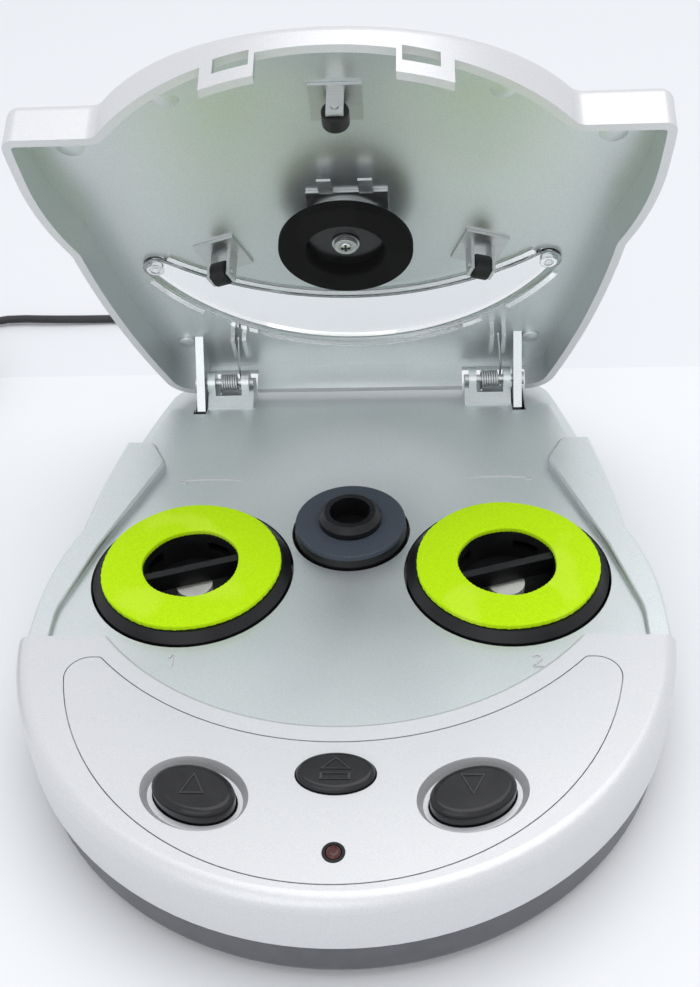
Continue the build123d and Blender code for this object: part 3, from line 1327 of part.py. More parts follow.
export_step(lid.part, "parts/lid.step")
print("lid", lid.part.volume, len(lid.solids()), lid.part.is_valid)


with BuildPart() as pane_flange:
    with BuildSketch(lid_level(RIM_Z)):
        crescent(PANE_FLANGE)
        with Locations((-EYELET_POINT[0], EYELET_POINT[1]), EYELET_POINT):
            Circle(EYELET_R)
            Circle(EYELET_HOLE_R, mode=Mode.SUBTRACT)
    extrude(amount=CROWN_Z - RIM_Z + 2 * OVERCUT)
    add(crown_layer(LID_WALL + CEILING_GAP, PANE_FLANGE_T), mode=Mode.INTERSECT)

with BuildPart() as lid_window:
    with BuildSketch(lid_level(RIM_Z)):
        crescent(0)
    extrude(amount=CROWN_Z - RIM_Z + 2 * OVERCUT)
    add(crown_layer(CEILING_GAP, LID_WALL + PANE_FLANGE_T), mode=Mode.INTERSECT)
    add(pane_flange.part)
    lid_window.part.label = "lid_window"
export_step(lid_window.part, "parts/lid_window.step")
print("window", lid_window.part.volume, len(lid_window.solids()), lid_window.part.is_valid)

LID_AXIS = Axis(opened(0, 0, 0), LID_UP)
UNDER_CEILING = under_crown(LID_WALL + CEILING_GAP)

with BuildPart() as clamp_cup:
    with BuildSketch(lid_side(0)):
        with BuildLine():
            Polyline(
                (STEM_R + SLIDE_FIT, CUP_Z),
                (CUP_FACE_R, CUP_Z),
                (CUP_TOP_R, CUP_Z + CUP_BEVEL_H),
                (CUP_TOP_R, CROWN_Z),
                (STEM_R + SLIDE_FIT, CROWN_Z),
                close=True,
            )
        make_face()
    revolve(axis=LID_AXIS)
    add(under_crown(LID_WALL + 2 * CEILING_GAP + PLATE_STAMP_T), mode=Mode.INTERSECT)
    clamp_cup.part.label = "clamp_cup"
export_step(clamp_cup.part, "parts/clamp_cup.step")

# Stamped plate between the ceiling and the cup, with two leaf tabs bent down at its front.
with BuildPart() as clamp_plate:
    with BuildSketch(lid_level(RIM_Z)):
        with Locations((PLATE_MID[0], PLATE_MID[1])):
            Rectangle(PLATE_STAMP[0], PLATE_STAMP[1])
        Circle(STEM_R + STEM_ROOM, mode=Mode.SUBTRACT)
    extrude(amount=CROWN_Z - RIM_Z)
    add(crown_layer(LID_WALL + CEILING_GAP, PLATE_STAMP_T), mode=Mode.INTERSECT)
    tab_y = PLATE_MID[1] - PLATE_STAMP[1] / 2
    tab_z = crown_ceiling(tab_y) - CEILING_GAP
    for tab_x in PLATE_TABS:
        with BuildSketch(lid_side(tab_x - PLATE_TAB_W / 2)):
            with BuildLine():
                Polyline(
                    (tab_y + PLATE_BEND_L, tab_z - PLATE_BEND_DROP),
                    (tab_y - PLATE_TAB_L, tab_z - PLATE_TAB_DROP),
                    (tab_y - PLATE_TAB_L, tab_z - PLATE_TAB_DROP - PLATE_STAMP_T),
                    (tab_y + PLATE_BEND_L, tab_z - PLATE_STAMP_T),
                    close=True,
                )
            make_face()
        extrude(amount=PLATE_TAB_W)
    clamp_plate.part.label = "clamp_plate"
export_step(clamp_plate.part, "parts/clamp_plate.step")

CLAMP_FLOOR_Z = CLAMP_Z + CLAMP_T - CLAMP_FLOOR_T
WASHER_Z = CLAMP_FLOOR_Z - WASHER_T - WASHER_GAP
with BuildPart() as clamp_stem:
    for radius, height in (
        (WASHER_R, WASHER_T),
        (SCREW_HEAD_R, -SCREW_HEAD_H),
        (STEM_R, STEM_TOP_Z - WASHER_Z),
    ):
        with BuildSketch(lid_level(WASHER_Z)):
            Circle(radius)
        extrude(amount=height)
    clamp_stem.part.label = "clamp_stem"
export_step(clamp_stem.part, "parts/clamp_stem.step")

with BuildPart() as clamp_core:
    with BuildSketch(lid_level(CLAMP_FLOOR_Z)):
        Circle(CLAMP_HOLE_R - RING_FIT)
    extrude(amount=CLAMP_FLOOR_T)
    with BuildSketch(lid_level(CLAMP_FLOOR_Z)):
        Circle(CLAMP_BOSS_R)
    extrude(amount=CLAMP_BOSS_Z - CLAMP_FLOOR_Z)
    with BuildSketch(lid_level(CLAMP_FLOOR_Z)):
        Circle(STEM_R + SLIDE_FIT)
    extrude(amount=CLAMP_BOSS_Z - CLAMP_FLOOR_Z, mode=Mode.SUBTRACT)
    clamp_core.part.label = "clamp_core"
export_step(clamp_core.part, "parts/clamp_core.step")

with BuildPart() as clamp_ring:
    with BuildSketch(lid_side(0)):
        with BuildLine():
            Polyline(
                (CLAMP_HOLE_R, CLAMP_Z),
                (CLAMP_R, CLAMP_Z),
                (CLAMP_R, CLAMP_Z + CLAMP_EDGE_H),
                (CLAMP_BACK_R, CLAMP_Z + CLAMP_T),
                (CLAMP_HOLE_R, CLAMP_Z + CLAMP_T),
                close=True,
            )
        make_face()
    revolve(axis=LID_AXIS)
    circles = clamp_ring.edges().filter_by(GeomType.CIRCLE)
    fillet(circles.filter_by(lambda e: abs(e.radius - CLAMP_R) < 0.01), CLAMP_EDGE_R)
    clamp_ring.part.label = "clamp_ring"
export_step(clamp_ring.part, "parts/clamp_ring.step")

for name, (x, y) in zip(ROLLER_NAMES, ROLLER_POINTS):
    cheek = ROLLER_L / 2 + FORK_GAP
    pin_reach = cheek + FORK_T + ROLLER_PIN_OUT
    turn = degrees(atan2(y, x)) - 90
    base = lid_radial(x, y, ROLLER_Z)
    fork_top = crown_ceiling(y) + 2 * OVERCUT - ROLLER_Z
    with BuildPart() as roller_flange:
        with BuildSketch(lid_level(RIM_Z)):
            with Locations(Location((x, y, 0), (0, 0, turn))):
                Rectangle(FLANGE_SIZE, FLANGE_SIZE)
        extrude(amount=CROWN_Z - RIM_Z)
        add(crown_layer(LID_WALL + CEILING_GAP, FLANGE_T), mode=Mode.INTERSECT)
    with BuildPart() as roller_bracket:
        for sign in (-1, 1):
            with BuildSketch(base.offset(sign * cheek)):
                with Locations((0, -FORK_TIP)):
                    Rectangle(FORK_W, fork_top + FORK_TIP, align=(Align.CENTER, Align.MIN))
                Circle(ROLLER_PIN_R + ROLLER_BORE_FIT, mode=Mode.SUBTRACT)
            extrude(amount=sign * FORK_T)
        add(UNDER_CEILING, mode=Mode.INTERSECT)
        add(roller_flange.part)
        roller_bracket.part.label = f"roller_bracket_{name}"
    export_step(roller_bracket.part, f"parts/roller_bracket_{name}.step")
    with BuildPart() as roller_pin:
        with BuildSketch(base.offset(-pin_reach)):
            Circle(ROLLER_PIN_R)
        extrude(amount=2 * pin_reach)
        roller_pin.part.label = f"roller_pin_{name}"
    export_step(roller_pin.part, f"parts/roller_pin_{name}.step")
    with BuildPart() as roller:
        with BuildSketch(base.offset(-ROLLER_L / 2)):
            Circle(ROLLER_R)
            Circle(ROLLER_PIN_R + ROLLER_BORE_FIT, mode=Mode.SUBTRACT)
        extrude(amount=ROLLER_L)
        rims = roller.edges().filter_by(GeomType.CIRCLE).filter_by(lambda e: e.radius > ROLLER_R - 0.1)
        fillet(rims, ROLLER_EDGE_R)
        roller.part.label = f"roller_{name}"
    export_step(roller.part, f"parts/roller_{name}.step")


# ================================================================ hinge pins and springs
def add_biarc(start, start_dir, end, end_dir):
    """Two tangent arcs between two points with given directions."""
    chord = end - start
    both = start_dir + end_dir
    across = 2 * (1 - start_dir.dot(end_dir))
    reach = (-chord.dot(both) + sqrt(chord.dot(both) ** 2 + across * chord.dot(chord))) / across
    near = start + start_dir * reach
    far = end - end_dir * reach
    middle = (near + far) * 0.5
    TangentArc(start, middle, tangent=start_dir)
    TangentArc(middle, end, tangent=(far - near).normalized())


def wire_tube(path, radius):
    """Round bar along a path, drawn in the part that is open."""
    with BuildSketch(Plane(origin=path @ 0, z_dir=path % 0)) as section:
        Circle(radius)
    sweep(section.sketch, path=path)


def least_gap(points, arc_step, diameter):
    """Least clear distance between turns of a tube, on points along it."""
    least = 1e9
    apart = ceil(2.5 * diameter / arc_step)
    for i, a in enumerate(points):
        for b in points[i + apart:]:
            least = min(least, (a - b).length)
    return least - diameter


for hand, start_x in SPRING_STARTS.items():
    sign = -1 if hand == "left" else 1
    with BuildPart() as hinge_pin:
        with BuildSketch(side(sign * (BLOCK_X[0] + PIN_INSET))):
            with Locations((HINGE_Y, HINGE_Z)):
                Circle(PIN_R)
        extrude(amount=sign * (ARM_X[1] + PIN_HEAD_GAP + PIN_HEAD_T - BLOCK_X[0] - PIN_INSET))
        with BuildSketch(side(sign * (ARM_X[1] + PIN_HEAD_GAP))):
            with Locations((HINGE_Y, HINGE_Z)):
                Circle(PIN_HEAD_R)
        extrude(amount=sign * PIN_HEAD_T)
        hinge_pin.part.label = f"hinge_pin_{hand}"
    export_step(hinge_pin.part, f"parts/hinge_pin_{hand}.step")

    centre = Vector(0, SPINDLE_Y + HINGE_Y, HINGE_Z)
    nodes = []
    for half in range(2 * SPRING_TURNS + 1):
        angle = pi * half - pi / 2
        spoke = Vector(0, SPRING_R * cos(angle), SPRING_R * sin(angle))
        heading = Vector(SPRING_PITCH / (2 * pi), -spoke.Z, spoke.Y).normalized()
        nodes.append((centre + spoke + Vector(start_x + SPRING_PITCH * half / 2, 0, 0), heading))
    with BuildPart() as hinge_spring:
        with BuildLine() as spring_path:
            foot_end = nodes[0][0] - nodes[0][1] * (HINGE_Y - NOTCH_FRONT_Y - LEG_END_GAP)
            Line(foot_end, nodes[0][0])
            for (a, a_dir), (b, b_dir) in zip(nodes, nodes[1:]):
                add_biarc(a, a_dir, b, b_dir)
        wire_tube(spring_path.wire(), SPRING_WIRE / 2)
        hinge_spring.part.label = f"hinge_spring_{hand}"
    export_step(hinge_spring.part, f"parts/hinge_spring_{hand}.step")
    samples = [spring_path.wire() @ (k / SPRING_SAMPLES) for k in range(SPRING_SAMPLES + 1)]
    gap = least_gap(samples, spring_path.wire().length / SPRING_SAMPLES, SPRING_WIRE)
    print("spring", hand, "turns", SPRING_TURNS, "least gap", round(gap, 3), hinge_spring.part.is_valid)

    # the spring's moving leg: a quarter turn beside the coil, then straight up between the lid's ribs
    leg_x = start_x + SPRING_PITCH * SPRING_TURNS + SPRING_WIRE + LEG_GAP
    rib_x = LEG_RIBS[hand]
    with BuildPart() as spring_leg:
        with BuildLine() as leg_path:
            arc = ThreePointArc(
                opened(leg_x, HINGE_Y, HINGE_Z - SPRING_R),
                opened(leg_x, HINGE_Y + SPRING_R, HINGE_Z),
                opened(leg_x, HINGE_Y, HINGE_Z + SPRING_R),
            )
            tip = Vector(*opened(rib_x, HINGE_Y + LEG_TIP[0], HINGE_Z + LEG_TIP[1]))
            knee = Vector(*opened(leg_x, HINGE_Y + LEG_KNEE[0], HINGE_Z + LEG_KNEE[1]))
            add_biarc(arc @ 1, arc % 1, knee, (tip - knee).normalized())
            Line(knee, tip)
        wire_tube(leg_path.wire(), SPRING_WIRE / 2)
        spring_leg.part.label = f"spring_leg_{hand}"
    export_step(spring_leg.part, f"parts/spring_leg_{hand}.step")

# ================================================================ supply lead
SOCKET_Y = REAR_Y - WALL - LIP_GAP - LIP_T
with BuildPart() as supply_jack:
    with BuildSketch(level(FOOT_H + PAN_FLOOR)):
        with Locations((JACK_X, SOCKET_Y)):
            Rectangle(JACK_SIZE[0], JACK_SIZE[1], align=(Align.CENTER, Align.MAX))
    extrude(amount=JACK_SIZE[2])
    with BuildSketch(front(SOCKET_Y)):
        with Locations((JACK_X, JACK_Z)):
            Circle(JACK_BORE_R)
            Circle(JACK_PIN_R, mode=Mode.SUBTRACT)
    extrude(amount=JACK_DEPTH, mode=Mode.SUBTRACT)
    supply_jack.part.label = "supply_jack"
export_step(supply_jack.part, "parts/supply_jack.step")

PLUG_FACE_Y = SOCKET_Y + PLUG_GAP
RELIEF_Y = PLUG_FACE_Y + PLUG_L
CORD_START_Y = RELIEF_Y + RELIEF_L
with BuildPart() as supply_plug:
    with BuildSketch(Plane(origin=(JACK_X, SPINDLE_Y, JACK_Z), x_dir=(0, 1, 0), z_dir=(1, 0, 0))):
        with BuildLine():
            Polyline(
                (PLUG_FACE_Y - JACK_DEPTH + PLUG_TIP_GAP, PLUG_BORE_R),
                (PLUG_FACE_Y - JACK_DEPTH + PLUG_TIP_GAP, BARREL_R),
                (PLUG_FACE_Y, BARREL_R),
                (PLUG_FACE_Y, PLUG_R),
                (RELIEF_Y, PLUG_R),
                (RELIEF_Y, RELIEF_R),
                (CORD_START_Y, RELIEF_TIP_R),
                (CORD_START_Y, 0),
                (PLUG_FACE_Y, 0),
                (PLUG_FACE_Y, PLUG_BORE_R),
                close=True,
            )
        make_face()
    revolve(axis=Axis((JACK_X, SPINDLE_Y, JACK_Z), (0, 1, 0)))
    supply_plug.part.label = "supply_plug"
export_step(supply_plug.part, "parts/supply_plug.step")


def cord_point(x, y, z):
    return Vector(x, SPINDLE_Y + y, z)


def round_tube(points, radius, name):
    """Tube along straight runs joined by the largest arcs that they allow."""
    radii = []
    for a, b, c in zip(points, points[1:], points[2:]):
        turn = radians((b - a).get_angle(c - b))
        radii.append(BEND_SHARE * min((b - a).length, (c - b).length) / tan(turn / 2))
    with BuildPart() as tube:
        with BuildLine() as path:
            FilletPolyline(*points, radius=radii)
        wire_tube(path.wire(), radius)
    drawn = pi * radius ** 2 * path.wire().length
    print(name, "length", round(path.wire().length, 1), "volume ratio", round(tube.part.volume / drawn, 4))
    print("  radii", [round(r, 1) for r in radii])
    return tube.part, path.wire().length


def coil_nodes():
    """Half-turn points of the coil, layer by layer, in and out again."""
    x, y = COIL_CENTRE
    middle = cord_point(x, y, CORD_R + COIL_LIFT)
    spots = []
    radius = COIL_OUTER_R
    height = 0.0
    step = COIL_PITCH / 2
    rates = []
    for layer in range(COIL_LAYERS):
        inward = -1 if layer % 2 == 0 else 1
        halves = 2 * COIL_TURNS + (1 if layer == COIL_LAYERS - 1 else 0)
        rates += [(inward * step, 0.0)] * halves
        if layer < COIL_LAYERS - 1:
            rates.append((0.0, COIL_RISE))
    for half in range(len(rates) + 1):
        angle = radians(COIL_START) + pi * half
        spot = middle + Vector(radius * cos(angle), radius * sin(angle), height)
        before = rates[half - 1] if half > 0 else (0.0, 0.0)
        after = rates[half] if half < len(rates) else (0.0, 0.0)
        drift = (before[0] + after[0]) / (2 * pi)
        out = Vector(cos(angle), sin(angle), 0)
        along = Vector(-sin(angle), cos(angle), 0)
        spots.append((spot, (along * radius + out * drift).normalized()))
        if half < len(rates):
            radius += rates[half][0]
            height += rates[half][1]
    return spots


COIL_SPOTS = coil_nodes()
COIL_END_L = 2 * CORD_R
with BuildPart() as supply_coil:
    with BuildLine() as coil_path:
        first, first_dir = COIL_SPOTS[0]
        last, last_dir = COIL_SPOTS[-1]
        Line(first - first_dir * COIL_END_L, first)
        for (a, a_dir), (b, b_dir) in zip(COIL_SPOTS, COIL_SPOTS[1:]):
            add_biarc(a, a_dir, b, b_dir)
        Line(last, last + last_dir * COIL_END_L)
    wire_tube(coil_path.wire(), CORD_R)
    supply_coil.part.label = "supply_coil"
export_step(supply_coil.part, "parts/supply_coil.step")
coil_length = coil_path.wire().length
samples = [coil_path.wire() @ (k / COIL_SAMPLES) for k in range(COIL_SAMPLES + 1)]
coil_gap = least_gap(samples, coil_length / COIL_SAMPLES, 2 * CORD_R)
coil_ratio = supply_coil.part.volume / (pi * CORD_R ** 2 * coil_length)
print("coil length", round(coil_length, 1), "least gap", round(coil_gap, 3), "volume ratio", coil_ratio)

COIL_IN = first - first_dir * COIL_END_L
COIL_OUT = last + last_dir * COIL_END_L
LEAD_POINTS = [
    cord_point(JACK_X, CORD_START_Y, JACK_Z),
    cord_point(JACK_X, CORD_START_Y + 10, JACK_Z),
    cord_point(-28, 118.5, 4.6),
    cord_point(-41, 128, 1.6),
    cord_point(-58, 132.2, CORD_R),
    cord_point(-80, 132.6, CORD_R),
    cord_point(-105, 131.6, CORD_R + COIL_LIFT),
    COIL_IN - first_dir * LEAD_RUN,
    COIL_IN,
]
supply_lead, lead_length = round_tube(LEAD_POINTS, CORD_R, "lead")
supply_lead.label = "supply_lead"
export_step(supply_lead, "parts/supply_lead.step")

ADAPTER_Z = ADAPTER_SIZE[2] / 2
TAIL_POINTS = [
    COIL_OUT,
    COIL_OUT + last_dir * TAIL_RUN,
    cord_point(-187, 91, 12.6),
    cord_point(ADAPTER_X, ADAPTER_TIP_Y + TAIL_RUN, ADAPTER_Z),
    cord_point(ADAPTER_X, ADAPTER_TIP_Y, ADAPTER_Z),
]
supply_tail, tail_length = round_tube(TAIL_POINTS, CORD_R, "tail")
supply_tail.label = "supply_tail"
export_step(supply_tail, "parts/supply_tail.step")
print("whole cord", round(lead_length + coil_length + tail_length, 1), "mm")

ADAPTER_REAR_Y = ADAPTER_TIP_Y - ADAPTER_RELIEF_L
with BuildPart() as adapter:
    with BuildSketch(level(0)):
        with Locations((ADAPTER_X, ADAPTER_REAR_Y)):
            Rectangle(ADAPTER_SIZE[0], ADAPTER_SIZE[1], align=(Align.CENTER, Align.MAX))
        fillet(vertices(), ADAPTER_EDGE_R)
    extrude(amount=ADAPTER_SIZE[2])
    fillet(adapter.edges().filter_by(Plane.XY), ADAPTER_RIM_R)
    with BuildSketch(front(ADAPTER_REAR_Y)):
        with Locations((ADAPTER_X, ADAPTER_Z)):
            Circle(ADAPTER_NECK_R)
    with BuildSketch(front(ADAPTER_TIP_Y)):
        with Locations((ADAPTER_X, ADAPTER_Z)):
            Circle(RELIEF_TIP_R)
    loft()
    adapter.part.label = "adapter"
export_step(adapter.part, "parts/adapter.step")

with BuildPart() as adapter_blades:
    with BuildSketch(front(ADAPTER_REAR_Y - ADAPTER_SIZE[1])):
        with Locations((ADAPTER_X - BLADE_X, ADAPTER_Z), (ADAPTER_X + BLADE_X, ADAPTER_Z)):
            Rectangle(*BLADE_SIZE)
    extrude(amount=BLADE_L)
    adapter_blades.part.label = "adapter_blades"
export_step(adapter_blades.part, "parts/adapter_blades.step")

# A tie round one side of the coil, its foot on the table.
coil_inner_r = COIL_OUTER_R - COIL_PITCH * COIL_TURNS
coil_far_r = COIL_OUTER_R + COIL_PITCH / 2
tie_width = coil_far_r - coil_inner_r + 2 * CORD_R + 3 * TIE_GAP
tie_height = COIL_RISE * (COIL_LAYERS - 1) + 2 * CORD_R + 2 * TIE_GAP
tie_mid = (coil_far_r + coil_inner_r) / 2 - TIE_GAP / 2
with BuildPart() as coil_tie:
    with BuildSketch(Plane(
        origin=(COIL_CENTRE[0] + tie_mid, SPINDLE_Y + COIL_CENTRE[1] + TIE_W / 2, 0),
        x_dir=(1, 0, 0),
        z_dir=(0, -1, 0),
    )):
        with Locations((0, tie_height / 2 + TIE_T)):
            RectangleRounded(tie_width + 2 * TIE_T, tie_height + 2 * TIE_T, TIE_CORNER_R)
            RectangleRounded(tie_width, tie_height, TIE_CORNER_R - TIE_T, mode=Mode.SUBTRACT)
    extrude(amount=TIE_W)
    coil_tie.part.label = "coil_tie"
export_step(coil_tie.part, "parts/coil_tie.step")
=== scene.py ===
# %% [markdown]
# # A desktop disc repair machine
# The machine polishes scratches out of a disc. Its lid stands open: under it are a turntable,
# two polishing pads, a clamp on a spring and three small rollers. This notebook dresses the
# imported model, so each piece goes where the frame says, with no fitting by eye.

# %% Load the frame
import json
import math

import bpy
import numpy as np
from mathutils import Matrix, Vector


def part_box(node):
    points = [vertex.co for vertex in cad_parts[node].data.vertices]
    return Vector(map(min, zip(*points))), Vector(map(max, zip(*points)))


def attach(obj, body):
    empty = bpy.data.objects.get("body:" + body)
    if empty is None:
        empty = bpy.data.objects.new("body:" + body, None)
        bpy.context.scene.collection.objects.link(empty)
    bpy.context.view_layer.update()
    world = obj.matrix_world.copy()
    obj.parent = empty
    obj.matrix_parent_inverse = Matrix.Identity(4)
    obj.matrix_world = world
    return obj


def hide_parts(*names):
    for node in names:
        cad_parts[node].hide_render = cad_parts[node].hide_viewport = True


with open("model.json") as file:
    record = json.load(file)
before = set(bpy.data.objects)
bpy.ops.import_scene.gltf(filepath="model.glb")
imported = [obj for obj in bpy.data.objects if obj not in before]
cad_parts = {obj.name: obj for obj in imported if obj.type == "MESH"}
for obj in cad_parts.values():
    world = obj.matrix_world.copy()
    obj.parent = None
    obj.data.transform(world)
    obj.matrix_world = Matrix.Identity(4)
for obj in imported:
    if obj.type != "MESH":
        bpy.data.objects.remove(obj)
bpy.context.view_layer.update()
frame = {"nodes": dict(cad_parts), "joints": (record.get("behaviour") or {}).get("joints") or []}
print("nodes in the frame:", len(frame["nodes"]))

# %% [markdown]
# ## Two coordinate systems
# Sizes are written in millimetres, as a maker reads them. The base is measured from the disc
# spindle. The lid is easier to measure as if it were shut, so one function turns a point of the
# shut lid to where it stands, by the angle and the axis that the hinge joint states.

# %% Places in the base and in the lid
MM = 0.001
hub_low, hub_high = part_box("spindle_hub")
SPINDLE = np.array([0.0, (hub_low[1] + hub_high[1]) / 2, 0.0])
hinge = next(joint for joint in frame["joints"] if joint["name"] == "lid_hinge")
HINGE = np.array(hinge["pos_m"])
OPEN = math.radians(hinge["range_deg"][1])
LID_X = np.array([1.0, 0.0, 0.0])
LID_Y = np.array([0.0, math.cos(OPEN), -math.sin(OPEN)])
LID_Z = np.array([0.0, math.sin(OPEN), math.cos(OPEN)])
HINGE_FROM_SPINDLE = HINGE - SPINDLE


def node_box(name):
    """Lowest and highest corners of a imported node, as arrays in metres."""
    return (np.array(corner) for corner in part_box(name))


def in_base(points_mm):
    """Base points in millimetres from the spindle on the table, as places in metres."""
    return np.asarray(points_mm, float) * MM + SPINDLE


def in_lid(points_mm):
    """Points of the shut lid, in the same millimetres, turned open about the hinge."""
    arm = np.asarray(points_mm, float) * MM - HINGE_FROM_SPINDLE
    turned = arm[..., :1] * LID_X + arm[..., 1:2] * LID_Y + arm[..., 2:3] * LID_Z
    return turned + HINGE


print("spindle at y =", round(SPINDLE[1] / MM, 2), "mm")
print("the lid stands open by", hinge["range_deg"][1], "degrees")

# %% [markdown]
# ## The camera
# The photograph looks down on the machine from its front. The lens is given by how many pixels a
# slope of one covers, which is how a calibrated photograph states it, and Blender's focal length
# follows from that and from the height of the picture.

# %% Camera
PICTURE = (700, 987)
SENSOR_MM = 36.0
FOCAL_PX = 1234.9
CENTRE_PX = (349.2, 471.8)
YAW, PITCH, ROLL = 0.0774, 0.6668, -0.0591
EYE = in_base((17.67, -222.70, 214.86))


def camera_axes(yaw, pitch, roll):
    """Rows are the picture's right, down and forward directions in the world."""
    level = np.array([
        [1, 0, 0],
        [0, -math.sin(pitch), -math.cos(pitch)],
        [0, math.cos(pitch), -math.sin(pitch)],
    ])
    turn = np.array(Matrix.Rotation(yaw, 3, "Z"))
    tip = np.array(Matrix.Rotation(roll, 3, "Z"))
    return tip @ level @ turn.T


right, down, forward = camera_axes(YAW, PITCH, ROLL)
camera_data = bpy.data.cameras.new("camera")
camera_data.sensor_width = SENSOR_MM
camera_data.lens = FOCAL_PX / PICTURE[1] * SENSOR_MM
camera_data.shift_x = (PICTURE[0] / 2 - CENTRE_PX[0]) / PICTURE[1]
camera_data.shift_y = (CENTRE_PX[1] - PICTURE[1] / 2) / PICTURE[1]
camera_data.clip_start = 0.01
camera_data.clip_end = 20.0
camera = bpy.data.objects.new("camera", camera_data)
bpy.context.collection.objects.link(camera)
axes = Matrix((right, -down, -forward)).transposed()
camera.matrix_world = Matrix.Translation(EYE) @ axes.to_4x4()
bpy.context.scene.camera = camera
print("lens", round(camera_data.lens, 1), "mm")

# %% [markdown]
# ## Surfaces from formulas
# Most pieces here are surfaces of two parameters: a grid of points worked out with numpy in one
# go. One helper turns such a grid into a mesh, and a second turns a profile round an axis, which
# is how pads, rings, bosses and screw heads are described.

# %% Helpers for surfaces
def add_piece(name, mesh, body=None, material=None):
    """Puts a mesh into the scene as a piece that rides on a body."""
    piece = bpy.data.objects.new(name, mesh)
    bpy.context.collection.objects.link(piece)
    if material:
        mesh.materials.clear()
        mesh.materials.append(material)
    if body:
        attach(piece, body)
    return piece


def grid_mesh(name, points, close_u=False, close_v=False, smooth=True):
    """Mesh of a surface given as points[u, v]: each cell between neighbours is one quad."""
    rows, columns = points.shape[:2]
    index = np.arange(rows * columns).reshape(rows, columns)
    if close_u:
        index = np.vstack([index, index[:1]])
    if close_v:
        index = np.hstack([index, index[:, :1]])
    corners = (index[:-1, :-1], index[1:, :-1], index[1:, 1:], index[:-1, 1:])
    quads = np.stack([corner.ravel() for corner in corners], axis=1)
    mesh = bpy.data.meshes.new(name)
    mesh.from_pydata(points.reshape(-1, 3).tolist(), [], quads.tolist())
    mesh.polygons.foreach_set("use_smooth", np.full(len(quads), smooth))
    mesh.update()
    return mesh


def turned_points(profile, centre, turns, place, wobble=None):
    """Turns (radius, height) pairs about a vertical axis: x and y follow the cosine and sine."""
    profile = np.asarray(profile, float)
    angle = np.linspace(0, 2 * math.pi, turns, endpoint=False)[None, :]
    radius = profile[:, :1] + (wobble(angle, profile[:, :1]) if wobble else 0)
    x = centre[0] + radius * np.cos(angle)
    y = centre[1] + radius * np.sin(angle)
    z = np.broadcast_to(centre[2] + profile[:, 1:2], x.shape)
    return place(np.stack([x, y, z], axis=-1))


def rounded_profile(corners, radius, steps=5):
    """Closed section whose corners are rounded by arcs that touch both sides."""
    corners = np.asarray(corners, float)
    before = np.roll(corners, 1, axis=0) - corners
    after = np.roll(corners, -1, axis=0) - corners
    before /= np.linalg.norm(before, axis=1, keepdims=True)
    after /= np.linalg.norm(after, axis=1, keepdims=True)
    share = np.linspace(0, 1, steps)[None, :, None]
    start = corners + before * radius
    end = corners + after * radius
    weight = [(1 - share) ** 2, 2 * share * (1 - share), share ** 2]
    arc = weight[0] * start[:, None] + weight[1] * corners[:, None] + weight[2] * end[:, None]
    return arc.reshape(-1, 2)


BAR_SIDES = 12
END_SHARE = 0.02


def tube_mesh(name, path, radius, side):
    """Round bar along a path of places; side is a direction that the path never points along."""
    path = np.asarray(path, float)
    way = np.gradient(path, axis=0)
    way /= np.linalg.norm(way, axis=1, keepdims=True)
    across = np.cross(way, side)
    across /= np.linalg.norm(across, axis=1, keepdims=True)
    above = np.cross(across, way)
    angle = np.linspace(0, 2 * math.pi, BAR_SIDES, endpoint=False)[None, :, None]
    ring = (across[:, None] * np.cos(angle) + above[:, None] * np.sin(angle)) * radius
    path = np.concatenate([path[:1], path, path[-1:]])
    ring = np.concatenate([ring[:1] * END_SHARE, ring, ring[-1:] * END_SHARE])
    return grid_mesh(name, path[:, None] + ring, close_v=True)


print("helpers ready")

# %% [markdown]
# ## Finishes
# A moulded and painted surface is never one flat colour. Each finish below starts from the
# Principled shader and adds what the real one shows: metallic flake in the silver paint, grain in
# the rubber, pores in the foam, a fine bump where the plastic is textured. All of it is worked
# out from the piece's own coordinates, so it stays put as the piece moves.

